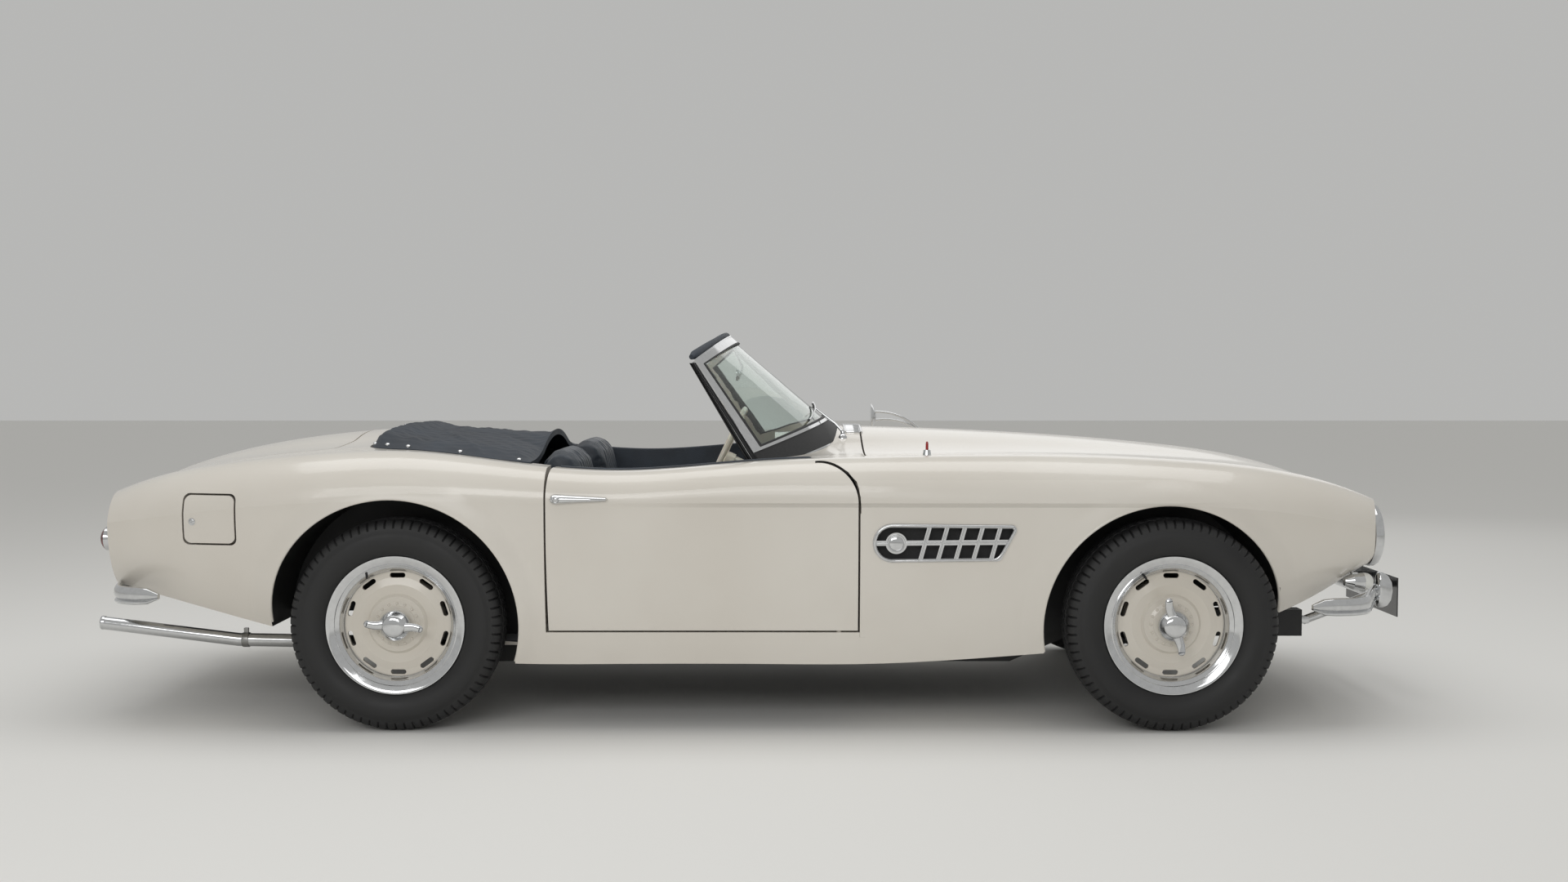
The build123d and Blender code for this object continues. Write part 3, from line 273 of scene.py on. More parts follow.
# dipped red enamel on the aerial's tip: glossy, a little uneven
redEnamel = mottled(
    "dippedRedEnamel", {"Roughness": 0.3, "IOR": 1.5}, tone=(90.0, 2.0, 0.3, "#8E1512", 0.8, "#A81D18"),
)
print("finishes made:", len(bpy.data.materials))


# carried-over CAD nodes

finishOfNode = {
    "engine": alloy, "drive_line": alloy, "windscreen_glass": glass, "exhaust": steel,
    "number_plate": blackPlate, "steering_wheel": ivory, "steering_column": ivory,
    "seat_left": leather, "seat_right": leather, "hood_cover": coverCloth,
    **dict.fromkeys((
        "frame", "front_suspension", "rear_axle", "knuckle_left", "knuckle_right", "radiator", "bulkhead",
    ), chassisBlack),
    **dict.fromkeys((
        "windscreen_frame", "front_bumper", "rear_bumper", "side_vents", "wing_mirror", "aerial", "grilles",
        "levers", "door_handle_left", "door_handle_right", "indicators", "tail_lamps", "headlamps",
    ), chrome),
    **{name: rubber for name in nodes if name.startswith("tyre")},
    **{name: wheelPaint for name in nodes if name.startswith("wheel_")},
}
for name, node in nodes.items():
    node.data.materials.clear()
    node.data.materials.append(finishOfNode.get(name, paint))
    for polygon in node.data.polygons:
        polygon.material_index = 0


# mesh tools for the new pieces


def added(name, data):
    # a new object in the scene
    thing = bpy.data.objects.new(name, data)
    bpy.context.collection.objects.link(thing)
    return thing


def newPiece(name, part, finish, body="chassis", smooth=True):
    mesh = bpy.data.meshes.new(name)
    mesh.from_pydata([tuple(v) for v in part[0]], [], part[1])
    mesh.validate()
    work = bmesh.new()
    work.from_mesh(mesh)
    bmesh.ops.remove_doubles(work, verts=work.verts, dist=0.000005)
    bmesh.ops.recalc_face_normals(work, faces=work.faces)
    work.to_mesh(mesh)
    work.free()
    mesh.materials.append(finish)
    piece = added(name, mesh)
    for polygon in mesh.polygons:
        polygon.use_smooth = smooth
    if smooth:
        mesh.set_sharp_from_angle(angle=math.radians(38))
    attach(piece, body)
    return piece


def fitted(name, part, finish, body="chassis", instead=None, smooth=True):
    # a new piece in its colour slot; instead names the CAD node that it stands in for
    piece = newPiece(name, part, finish, body, smooth)
    if instead:
        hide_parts(instead)
    return piece


def mix(a, b, t):
    return a + (b - a) * t


def evenly(start, end, count):
    return [mix(start, end, k / (count - 1)) for k in range(count)]


def circle(count):
    return [(math.cos(a), math.sin(a)) for a in [2 * math.pi * k / count for k in range(count)]]


def joined(parts):
    # several (vertices, faces) lists as one
    vertices, faces = [], []
    for partVertices, partFaces in parts:
        first = len(vertices)
        vertices += list(partVertices)
        faces += [tuple(first + i for i in face) for face in partFaces]
    return vertices, faces


def moved(part, matrix):
    return [matrix @ Vector(v) for v in part[0]], part[1]


def quads(rows, columns, wrapRows=False, wrapColumns=False):
    # faces between neighbouring rows of points
    faces = []
    for k in range(rows if wrapRows else rows - 1):
        a, b = k * columns, (k + 1) % rows * columns
        for i in range(columns if wrapColumns else columns - 1):
            j = (i + 1) % columns
            faces.append((a + i, a + j, b + j, b + i))
    return faces


def loftRings(rings, around=False):
    # skins equal rings of points, with flat ends unless the rings themselves run round
    rows, count = len(rings), len(rings[0])
    faces = quads(rows, count, around, True)
    if not around:
        faces += [tuple(reversed(range(count))), tuple((rows - 1) * count + i for i in range(count))]
    return [Vector(p) for ring in rings for p in ring], faces


def lathe(profile, segments=64):
    # profile of (radius, along) in millimetres, turned about the local Z axis
    vertices = [
        Vector((radius / 1000 * c, radius / 1000 * s, along / 1000))
        for c, s in circle(segments) for radius, along in profile
    ]
    return vertices, [(a, d, c, b) for a, b, c, d in quads(segments, len(profile), True)]


def tube(path, radius, segments=16):
    # a round bar along points; radius is one number or one for each point
    points = [Vector(p) for p in path]
    count = len(points)
    radii = radius if isinstance(radius, (list, tuple)) else [radius] * count
    rings = []
    side = None
    for i, point in enumerate(points):
        along = (points[min(i + 1, count - 1)] - points[max(i - 1, 0)]).normalized()
        side = along.orthogonal().normalized() if side is None else side
        side = (side - along * side.dot(along)).normalized()
        across = along.cross(side)
        rings.append([point + radii[i] * (c * side + s * across) for c, s in circle(segments)])
    return loftRings(rings)


def block(low, high, edge=0.0, steps=2):
    # a block with rolled edges
    work = bmesh.new()
    bmesh.ops.create_cube(work, size=1.0)
    for vertex in work.verts:
        for i in range(3):
            vertex.co[i] = (low[i] + high[i]) / 2 + vertex.co[i] * (high[i] - low[i])
    if edge:
        bmesh.ops.bevel(work, geom=list(work.edges), offset=edge, segments=steps, profile=0.5, affect="EDGES")
    vertices = [v.co.copy() for v in work.verts]
    index = {v: i for i, v in enumerate(work.verts)}
    faces = [tuple(index[v] for v in f.verts) for f in work.faces]
    work.free()
    return vertices, faces


def arcPoints(a, b, c, count):
    # points on the circle through a, b and c, from a to c
    a, b, c = Vector(a), Vector(b), Vector(c)
    u, v = b - a, c - a
    w = u.cross(v)
    centre = a + (v.length_squared * w.cross(u) - u.length_squared * w.cross(v)) / (2 * w.length_squared)
    start = a - centre
    normal = w.normalized()
    turn = start.angle(c - centre)
    if start.cross(c - centre).dot(normal) < 0:
        turn = 2 * math.pi - turn
    return [centre + Matrix.Rotation(turn * i / (count - 1), 3, normal) @ start for i in range(count)]


def alongX(x, y, z):
    # a lathe's local Z turned to point forwards from this place
    return Matrix.Translation((x, y, z)) @ Matrix.Rotation(math.pi / 2, 4, "Y")


def alongY(x, y, z, side):
    # the same, pointing out to one side
    return Matrix.Translation((x, y, z)) @ Matrix.Rotation(-side * math.pi / 2, 4, "X")


def surfaceFinder(*names):
    # casts rays at the named nodes; gives the point and the normal where one meets them, or Nones
    meshes = [nodes[name].data for name in names]
    tree = BVHTree.FromPolygons(*joined([
        ([v.co.copy() for v in mesh.vertices], [tuple(p.vertices) for p in mesh.polygons]) for mesh in meshes
    ]))
    return lambda origin, direction: tree.ray_cast(Vector(origin), Vector(direction))[:2]


def onFlank(find, x, z, side):
    return find((x, side * 1.2, z), (0, -side, 0))[0]


def onTop(find, x, y):
    return find((x, y, 1.6), (0, 0, -1))[0]


# body sections, tail to nose, in millimetres: x, z underside, y underside, y widest, z widest,
# y crest, z crest, y valley, z valley, z middle
bodyTable = [
    (-2300, 478, 450, 545, 635, 420, 712, 280, 710, 718),
    (-2050, 430, 580, 688, 668, 530, 787, 350, 786, 815),
    (-1800, 376, 654, 758, 700, 596, 843, 408, 845, 883),
    (-1480, 300, 702, 802, 731, 638, 880, 470, 882, 929),
    (-1150, 240, 730, 814, 740, 660, 892, 510, 894, 948),
    (-800, 212, 742, 806, 734, 688, 855, 572, 857, 938),
    (-450, 211, 745, 800, 730, 702, 830, 610, 831, 930),
    (-12, 211, 745, 800, 728, 700, 860, 590, 861, 952),
    (350, 211, 745, 802, 728, 680, 874, 570, 872, 950),
    (900, 242, 734, 806, 728, 652, 880, 522, 874, 928),
    (1400, 292, 706, 800, 722, 630, 861, 486, 852, 889),
    (1720, 372, 645, 762, 694, 604, 823, 452, 811, 842),
    (1900, 455, 596, 716, 660, 586, 777, 421, 760, 790),
    (2150, 560, 510, 620, 610, 545, 672, 362, 645, 668),
]


def bodyRow(x):
    # the table's columns at any x, by a smooth curve through the rows
    rows = bodyTable
    last = len(rows) - 2
    k = next((i for i in range(last + 1) if x <= rows[i + 1][0]), last)
    reach = rows[k + 1][0] - rows[k][0]
    t = (x - rows[k][0]) / reach
    values = []
    for column in range(1, 10):
        def slope(i):
            before, after = max(i - 1, 0), min(i + 1, last + 1)
            return (rows[after][column] - rows[before][column]) / (rows[after][0] - rows[before][0])
        values.append(
            rows[k][column] * (2 * t**3 - 3 * t**2 + 1) + slope(k) * reach * (t**3 - 2 * t**2 + t)
            + rows[k + 1][column] * (3 * t**2 - 2 * t**3) + slope(k + 1) * reach * (t**3 - t**2)
        )
    return values


def sCurve(y0, z0, y1, z1, y):
    # two equal arcs, level at both ends
    across, rise = y1 - y0, z1 - z0
    if abs(rise) < 1e-6:
        return z0
    radius = (across**2 + rise**2) / (4 * abs(rise))
    sign = 1 if rise > 0 else -1
    near = abs(y - y0)
    if near <= abs(across) / 2:
        return z0 + sign * (radius - math.sqrt(radius**2 - near**2))
    return z1 - sign * (radius - math.sqrt(radius**2 - (y1 - y) ** 2))


def deckTop(x, y):
    # height of the body's upper surface in metres at x, y in metres
    yWide, zWide, yCrest, zCrest, yValley, zValley, zMiddle = bodyRow(x * 1000)[2:]
    y = abs(y) * 1000
    if y <= yValley:
        height = sCurve(0, zMiddle, yValley, zValley, y)
    elif y <= yCrest:
        height = sCurve(yValley, zValley, yCrest, zCrest, y)
    else:
        reach, rise = yWide - yCrest, zCrest - zWide
        radius = (reach**2 + rise**2) / (2 * rise)
        height = zCrest - radius + math.sqrt(max(0.0, radius**2 - (y - yCrest) ** 2))
    return height / 1000


def flankY(x, z):
    # the flank's half width in metres at x and z
    zUnder, yUnder, yWide, zWide = bodyRow(x * 1000)[:4]
    inset, drop = yWide - yUnder, zWide - zUnder
    radius = (inset**2 + drop**2) / (2 * inset)
    return (yWide - radius + math.sqrt(max(0.0, radius**2 - (zWide - z * 1000) ** 2))) / 1000


# wheels and tyres

wheelPlaces = {"frontX": 1.318, "rearX": -1.162, "frontY": 0.7225, "rearY": 0.7125, "axleZ": 0.341}
# section points are radius and distance off the middle, in metres
tyre = {
    "radius": 0.341, "treadHalf": 0.052, "crown": 0.003, "segments": 504, "pitches": 72, "zigzag": 0.0045,
    "grooves": (-0.034, -0.012, 0.012, 0.034), "grooveHalf": 0.0028, "grooveDepth": 0.0075, "grooveEdge": 0.0012,
    "cutFrom": 0.044, "bead": (0.2185, 0.058), "seat": (0.2055, 0.054), "bulge": (0.262, 0.0925),
    "shoulder": [(0.305, 0.0845), (0.330, 0.072), (0.338, 0.052)],
    "ribPitch": 0.008, "ribHalf": 0.0016, "ribHeight": 0.0012,
}
hub = {
    "nut": [
        (0, 105), (20, 104.5), (30, 102), (36, 97), (40, 89), (46, 84), (50, 76), (50, 70), (47, 64), (0, 64),
    ],
    "ears": (0.028, 0.085), "earRadius": (0.016, 0.0115), "earLevel": 0.090, "earFlat": 0.55,
    "studs": 16, "studRing": 0.066, "studLevel": 0.0385,
    "rim": [
        (170.5, 30), (175.5, 34.5), (178.5, 42), (180, 52), (183.5, 56), (188, 57.5), (191.5, 61),
        (194.5, 62.5), (197.5, 61), (201, 63), (210, 67.2), (217.5, 71.2), (221.2, 71.2), (223.2, 69),
        (223, 65), (219, 64), (210, 60),
    ],
    "earTurn": {"front_left": 80, "front_right": 100, "rear_left": 10, "rear_right": 170},
}


def wheelMatrix(x, y, side, turn):
    # local Z points outwards from the wheel, local X forwards
    outward, forward = Vector((0, side, 0)), Vector((1, 0, 0))
    basis = Matrix((forward, outward.cross(forward), outward)).transposed().to_4x4()
    return Matrix.Translation((x, y, wheelPlaces["axleZ"])) @ basis @ Matrix.Rotation(turn, 4, "Z")


def dipAt(phase, wave, a):
    # how deep the tread is cut, 0 to 1, at this point of the pitch and a metres off the middle
    dip = 0.0
    for groove in tyre["grooves"]:
        gap = abs(a - groove - wave) - tyre["grooveHalf"]
        dip = max(dip, min(1.0, max(0.0, -gap / tyre["grooveEdge"])))
    outside = abs(a) - tyre["cutFrom"]
    if outside > 0:
        # shoulder cuts between the blocks
        gap = abs((phase + (0.5 if a > 0 else 0.0)) % 1 - 0.5) - 0.1
        return max(dip, min(1.0, max(0.0, -gap / 0.04)) * min(1.0, outside / 0.004))
    # short sipes across the ribs
    gap = abs((phase * 2 + a * 20) % 1 - 0.5) - 0.06
    return max(dip, 0.5 * min(1.0, max(0.0, -gap / 0.03)))


def tyreMesh():
    # the tyre's section, with fine rubbing ribs on its walls, and the tread cut into it
    half, ribPitch = tyre["treadHalf"], tyre["ribPitch"]
    (bead, beadSide), (seatRadius, seatSide) = tyre["bead"], tyre["seat"]
    inner = [(bead, -beadSide), (seatRadius, -seatSide), (seatRadius, seatSide), (bead, beadSide)]
    corner, *edge = [(*point, 0) for point in tyre["shoulder"]]
    wall = arcPoints((*tyre["bead"], 0), (*tyre["bulge"], 0), corner, 12)
    outerSide = [(p.x, p.y) for p in wall[1:] + arcPoints(corner, *edge, 9)[1:]]
    tread = [(tyre["radius"] - tyre["crown"] * (a / half) ** 2, a) for a in evenly(half, -half, 47)[1:-1]]
    section = []
    for r, a in inner + outerSide + tread + [(r, -a) for r, a in reversed(outerSide)]:
        onRib = 0.27 < r < 0.3 and abs((r - 0.285) % ribPitch - ribPitch / 2) < tyre["ribHalf"]
        section.append((r, a + math.copysign(tyre["ribHeight"], a) * onRib))
    rings = []
    for k, (c, s) in enumerate(circle(tyre["segments"])):
        phase = tyre["pitches"] * k / tyre["segments"]
        wave = tyre["zigzag"] * (4 * abs(phase % 1 - 0.5) - 1)
        ring = []
        for r, a in section:
            if r > 0.315 and abs(a) < 0.086:
                r = r - tyre["grooveDepth"] * dipAt(phase, wave, a)
            ring.append((r * c, r * s, a))
        rings.append(ring)
    return loftRings(rings, True)


def knockOffNut():
    # plain domed nut with two swept ears, flat paddles thinned along the axle
    parts = [lathe(hub["nut"], 48)]
    level = hub["earLevel"]
    steps = evenly(0, 1, 7)
    for turn in (0, math.pi):
        path = [(mix(*hub["ears"], t), 0.008 * math.sin(t * 2.2), mix(0.088, 0.098, t * t)) for t in steps]
        ear = tube(path, [mix(*hub["earRadius"], t) for t in steps], 20)
        tip = hub["earRadius"][1] * 1000
        cap = lathe([(0, tip * 0.8), (tip * 0.5, tip * 0.7), (tip * 0.87, tip * 0.4), (tip, 0), (0, -1)], 20)
        vertices, faces = joined([ear, moved(cap, alongX(*path[-1]))])
        flat = [Vector((v.x, v.y, level + (v.z - level) * hub["earFlat"])) for v in vertices]
        parts.append(moved((flat, faces), Matrix.Rotation(turn, 4, "Z")))
    return joined(parts)


stud = lathe([(0, 7.5), (3, 6.8), (4.8, 4), (5, 0), (0, -2)], 12)
studRing = joined([
    moved(stud, Matrix.Translation((hub["studRing"] * c, hub["studRing"] * s, hub["studLevel"])))
    for c, s in circle(hub["studs"])
])
valve = tube([(0.187, 0, 0.050), (0.180, 0, 0.060), (0.176, 0, 0.070)], [0.0045, 0.004, 0.0035], 12)
treaded, nut, rim = tyreMesh(), knockOffNut(), lathe(hub["rim"], 160)
for end in ("front", "rear"):
    for hand, side in hands:
        tag = f"{end}_{hand}"
        for label, part, finish, turn, instead in (
            ("treadedTyre_", treaded, rubber, 0, "tyre_" + tag),
            ("knockOffNut_", nut, chrome, math.radians(hub["earTurn"][tag]), None),
            ("hubStuds_", studRing, wheelPaint, 0, None), ("rimRing_", rim, chrome, 0, None),
            ("valve_", valve, seal, 2.1, None),
        ):
            matrix = wheelMatrix(wheelPlaces[end + "X"], side * wheelPlaces[end + "Y"], side, turn)
            fitted(label + tag, moved(part, matrix), finish, "wheel_" + tag, instead)
print("wheels dressed")


# seats, swelled by cloth and then pleated

seat = {
    "inner": 0.145, "outer": 0.588, "cushionFront": -0.100, "cushionRear": -0.590, "floor": 0.2625,
    "cushionTop": 0.415, "pressure": 4.0, "voxel": 0.006, "cushionCap": 0.022, "squabCap": 0.012,
    "pleats": 6, "pleatDepth": 0.007, "pleatHalf": 0.011,
    # the seat back's side profile, x and z
    "squab": [
        (-0.712, 0.335), (-0.607, 0.335), (-0.590, 0.46), (-0.582, 0.62), (-0.592, 0.76), (-0.612, 0.86),
        (-0.630, 0.892), (-0.662, 0.903), (-0.694, 0.895), (-0.716, 0.868), (-0.722, 0.75), (-0.716, 0.5),
    ],
}


def applied(piece, kind, **settings):
    # a modifier with these settings, applied to the mesh
    modifier = piece.modifiers.new(kind.lower(), kind)
    for name, value in settings.items():
        setattr(modifier, name, value)
    bpy.context.view_layer.objects.active = piece
    bpy.ops.object.modifier_apply(modifier=modifier.name)


def swell(piece, cap):
    # inflate with cloth, hold each point within the cap, and smooth once
    before = [v.co.copy() for v in piece.data.vertices]
    cloth = piece.modifiers.new("filling", "CLOTH")
    cloth.settings.use_pressure = True
    cloth.settings.uniform_pressure_force = seat["pressure"]
    cloth.settings.effector_weights.gravity = 0
    cloth.settings.quality = 4
    for step in range(1, 21):
        bpy.context.scene.frame_set(step)
    bpy.ops.object.modifier_apply(modifier=cloth.name)
    bpy.context.scene.frame_set(1)
    for vertex, start in zip(piece.data.vertices, before):
        shift = vertex.co - start
        if shift.length > cap:
            vertex.co = start + shift * (cap / shift.length)
    applied(piece, "SMOOTH", factor=0.5, iterations=6)


def pleat(piece, facing):
    # sewn channels across a panel; facing says which way the panel looks
    mesh = piece.data
    margin = (seat["outer"] - seat["inner"]) * 0.17
    low, high = seat["inner"] + margin, seat["outer"] - margin
    pitch = (high - low) / seat["pleats"]
    for vertex, normal in zip(mesh.vertices, [v.normal.copy() for v in mesh.vertices]):
        look = normal.dot(facing)
        y = abs(vertex.co.y)
        if look < 0.35 or not low - 0.01 < y < high + 0.01:
            continue
        phase = (y - low) / pitch
        seam = abs(phase - round(phase)) * pitch
        dip = seat["pleatDepth"] * max(0.0, 1 - seam / seat["pleatHalf"]) ** 1.5
        vertex.co -= normal * dip * min(1.0, (look - 0.35) / 0.3)
    mesh.update()


def mirrored(piece, name, body):
    # the same piece on the car's other side
    mesh = piece.data.copy()
    for vertex in mesh.vertices:
        vertex.co.y = -vertex.co.y
    mesh.flip_normals()
    twin = added(name, mesh)
    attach(twin, body)
    return twin


def backrest():
    # the side profile carried across and pinched in towards both sides
    profile = seat["squab"]
    middle = Vector([sum(p[i] for p in profile) / len(profile) for i in (0, 1)])
    rings = []
    for t in evenly(0, 1, 9):
        pinch = 1 - 0.10 * abs(2 * t - 1) ** 6
        y = mix(seat["inner"] + 0.008, seat["outer"] - 0.008, t)
        rings.append([(mix(middle.x, x, pinch), y, mix(middle.y, z, pinch)) for x, z in profile])
    return loftRings(rings)


cushionBlock = block(
    (seat["cushionRear"], seat["inner"] + 0.008, seat["floor"] + 0.012),
    (seat["cushionFront"] - 0.01, seat["outer"] - 0.008, seat["cushionTop"] - 0.012), 0.035, 4,
)
softPieces = [
    (newPiece("seatCushion_left", cushionBlock, leather), seat["cushionCap"], Vector((0, 0, 1))),
    (newPiece("seatBack_left", backrest(), leather), seat["squabCap"], Vector((1, 0, 0.1))),
]
for soft, cap, facing in softPieces:
    applied(soft, "REMESH", mode="VOXEL", voxel_size=seat["voxel"])
    swell(soft, cap)
for soft, cap, facing in softPieces:
    pleat(soft, facing)
    for polygon in soft.data.polygons:
        polygon.use_smooth = True
for soft, cap, facing in softPieces:
    twin = mirrored(soft, soft.name.replace("left", "right"), "chassis")
    for padding, instead in ((soft, "seat_left"), (twin, "seat_right")):
        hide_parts(instead)
print("seats swelled")


# hood cover, a soft cloth cover buttoned over the folded hood

cover = {
    "rear": -1.322, "front": -0.750, "sink": 0.018, "rows": 120, "columns": 168, "snapInset": 0.022,
    "fold": 0.0045, "wrinkle": 0.0022, "snapsAlong": (-1.300, -1.235, -1.160, -0.985, -0.790),
    "snapsAcross": (-0.2, 0.0, 0.2), "snapLean": 0.35, "half": 0.638, "shoulderX": -1.15, "shoulderHalf": 0.605,
    "cornerHalf": 0.30,
    # height of the folded hood's top under the cloth, along the car
    "crown": [
        (-1.322, 0.936), (-1.300, 0.952), (-1.265, 0.964), (-1.225, 0.960), (-1.175, 0.946), (-1.120, 0.938),
        (-1.000, 0.931), (-0.900, 0.920), (-0.820, 0.906), (-0.770, 0.893), (-0.750, 0.880),
    ],
}


def coverHalfWidth(x):
    # half the cover's width at x, rounded at its rear corners
    corner, shoulder = cover["cornerHalf"], cover["shoulderHalf"]
    along = x - cover["shoulderX"]
    if along < 0:
        t = min(1.0, 1 + along / 0.18)
        return mix(corner, shoulder, math.sqrt(max(0.0, 1 - (1 - t) ** 2.2)))
    return mix(shoulder, cover["half"], min(1.0, along / 0.27))


def alongTable(table, x):
    # smooth height from a short table
    for (x0, h0), (x1, h1) in zip(table, table[1:]):
        if x <= x1:
            t = min(1.0, max(0.0, (x - x0) / (x1 - x0)))
            return mix(h0, h1, t * t * (3 - 2 * t) * 0.5 + t * 0.5)
    return table[-1][1]


def coverTop(x, v):
    # the cloth's upper side; v runs from 0 in the middle to 1 at the side
    deck = deckTop(x, v * coverHalfWidth(x))
    u = (x - cover["rear"]) / (cover["front"] - cover["rear"])
    crown = alongTable(cover["crown"], x) - 0.030 * v * v
    sideFall = min(1.0, max(0.0, (1 - v) / 0.20))
    endFall = min(1.0, u / 0.05) * min(1.0, (1 - u) / 0.06)
    hold = math.sin(0.5 * math.pi * sideFall) * math.sin(0.5 * math.pi * endFall)
    height = mix(deck + 0.003, max(crown, deck - 0.010), hold)
    seam = abs(x + 1.02 - 0.30 * (v - 0.62))
    overlap = cover["fold"] * math.exp(-((seam - 0.004) / 0.010) ** 2) * (v > 0.25)
    folds = cover["fold"] * math.sin(34.0 * u + 6.0 * v) * math.exp(-((u - 0.22) / 0.14) ** 2)
    wrinkles = cover["wrinkle"] * (
        math.sin(47 * u - 15 * v) * math.sin(23 * v + 5 * u) + math.sin(90 * v + 12 * u) * 0.4
    )
    return max(height + (overlap + folds + wrinkles) * hold, deck - 0.013)


def coverMesh():
    rows, columns = cover["rows"], cover["columns"]
    wide = columns + 1
    top, bottom = [], []
    for x in evenly(cover["rear"], cover["front"], rows + 1):
        for v in [2 * j / columns - 1 for j in range(wide)]:
            y = coverHalfWidth(x) * v
            top.append((x, y, coverTop(x, abs(v))))
            bottom.append((x, y, deckTop(x, y) - cover["sink"]))
    count = len(top)
    under = [tuple(count + i for i in face) for face in quads(rows + 1, wide)]
    faces = [(a, d, c, b) for a, b, c, d in quads(rows + 1, wide)] + under
    for start, step, length in (
        (0, wide, rows), (columns, wide, rows), (0, 1, columns), (rows * wide, 1, columns),
    ):
        # the hem along one edge
        edge = range(start, start + step * length, step)
        faces += [(a, a + step, count + a + step, count + a) for a in edge]
    return top + bottom, faces


fitted("hoodCoverCloth", coverMesh(), coverCloth, instead="hood_cover")

snap = lathe([(0, 5.5), (4, 5), (7.2, 2.5), (7.8, 0), (0, -2)], 20)
snapSpots = [
    (x, side * (coverHalfWidth(x) - cover["snapInset"]), -side * cover["snapLean"])
    for x in cover["snapsAlong"] for side in (1, -1)
] + [(cover["snapsAlong"][0], y, 0.0) for y in cover["snapsAcross"]]
snaps = []
for x, y, lean in snapSpots:
    spot = Vector((x, y, coverTop(x, abs(y) / coverHalfWidth(x)) + 0.0005))
    snaps.append(moved(snap, Matrix.Translation(spot) @ Matrix.Rotation(lean, 4, "X")))
fitted("hoodCoverSnaps", joined(snaps), chrome)
print("hood cover laid")


# second finishes on parts of the CAD nodes; each test gets a face's centre and normal

def cabinSide(c):
    return abs(c.y) < 0.645 and -0.87 < c.x < 0.53 and c.z < 0.93


def inArch(c, n, arch):
    return (c.x - arch["x"]) ** 2 + (c.z - arch["z"]) ** 2 < (arch["radius"] + 0.004) ** 2 and abs(n.y) < 0.9


secondFinishes = [
    ("floor_pan", carpet, lambda c, n: abs(c.y) < 0.604 and c.z > 0.255 and (n.z > 0.3 or abs(n.y) > 0.7)),
    ("floor_pan", chassisBlack, lambda c, n: n.z < -0.8),
    ("bulkhead", carpet, lambda c, n: n.x < -0.7),
    ("tail", leather, lambda c, n: n.x > 0.7 and cabinSide(c)),
    ("tail", chassisBlack, lambda c, n: n.z < -0.3 and c.z < 0.88 and abs(c.y) < 0.5 and c.x > -2.05),
    ("windscreen_frame", ivory, lambda c, n: n.x < -0.25 and c.x < 0.2 and abs(n.z) < 0.92 and n.y * c.y <= 0),
    ("tail_lamps", redLens, lambda c, n: c.x < -2.149),
    ("indicators", whiteLens, lambda c, n: c.x > 1.981),
    ("exhaust", chrome, lambda c, n: c.x < -1.62),
]
for hand in ("left", "right"):
    secondFinishes += [
        ("rear_wing_" + hand, leather, lambda c, n: (
            cabinSide(c) and (n.x > 0.7 or n.y * c.y < 0) and c.z < 0.85
        )),
        ("rear_wing_" + hand, chassisBlack, lambda c, n: inArch(c, n, arches["rear"])),
        ("front_wing_" + hand, chassisBlack, lambda c, n: inArch(c, n, arches["front"])),
        # painted shade: the side vent's recessed back in black seal rubber, dark for the shade behind the bars
        ("front_wing_" + hand, seal, lambda c, n: (
            0.355 < c.x < 0.83 and 0.54 < c.z < 0.672 and abs(c.y) < 0.768 and abs(n.y) > 0.9
        )),
        ("door_" + hand, leather, lambda c, n: abs(c.y) < 0.652 and abs(n.y) > 0.9),
    ]
for name, finish, test in secondFinishes:
    mesh = nodes[name].data
    mesh.materials.append(finish)
    for polygon in mesh.polygons:
        if test(polygon.center, polygon.normal):
            polygon.material_index = len(mesh.materials) - 1
print("second finishes set")


# wheel arches: dark liners, walls and rolled lips

def archPieces(end, hand, side):
    arch = arches[end]
    find = surfaceFinder(f"{end}_wing_{hand}", "door_" + hand, "floor_pan")

    def around(radius, angle, y):
        return Vector((arch["x"] + radius * math.cos(angle), y, arch["z"] + radius * math.sin(angle)))

    liner, lip = [], []
    for k in range(-16, 73):
        angle = math.radians(k * 2.5 + 20)
        probe = around(arch["radius"] + 0.007, angle, 0)
        point = onFlank(find, probe.x, probe.z, side)
        if point is None or abs(point.y) <= 0.52:
            continue
        for t in range(7):
            y = mix(arch["wall"], abs(point.y) - 0.012, t / 6)
            liner.append(around(arch["radius"] - 0.003, angle, side * y))
        lip.append(around(arch["radius"] - 0.001, angle, side * (abs(point.y) - 0.0045)))
    # the wall is a fan from the axle's centre to the liner's inner edge
    rim = list(range(0, len(liner), 7))
    faces = quads(len(rim), 7) + [(len(liner), a, b) for a, b in zip(rim, rim[1:])]
    liner.append(Vector((arch["x"], side * arch["wall"], arch["z"])))
    fitted(f"archLiner_{end}_{hand}", (liner, faces), chassisBlack)
    fitted(f"archLip_{end}_{hand}", tube(lip, 0.0052, 12), paint)


for end in arches:
    for hand, side in hands:
        archPieces(end, hand, side)
print("arches lined")


# shut face of the wing in front of each door, which follows the door's swing

shutFace = {
    "x": 0.3204, "low": 0.3002, "high": 0.700, "pinX": 0.254, "pinY": 0.750, "swing": 0.086,
    "fold": 0.003, "lift": 0.0002, "rows": 37,
}
for hand, side in hands:
    vertices = []
    front, fold = shutFace["x"], shutFace["fold"]
    for z in evenly(shutFace["low"], shutFace["high"], shutFace["rows"]):
        y = flankY(front, z)
        cut = shutFace["pinX"] + math.sqrt(shutFace["swing"] ** 2 - (y - shutFace["pinY"]) ** 2)
        wide = max(cut + 0.0004, front + 0.0006)
        vertices += [(x, side * (y - shutFace["lift"] - depth), z) for x, depth in (
            (front + 0.0004, fold), (front, 0.0008), (front + 0.0008, 0.0), (mix(front, wide, 0.5), 0.0),
            (wide, 0.0), (wide, fold),
        )]
    fitted("wingShutFace_" + hand, (vertices, quads(shutFace["rows"], 6)), paint)


# headlamps: bezel, bowl, bulb and fluted lens

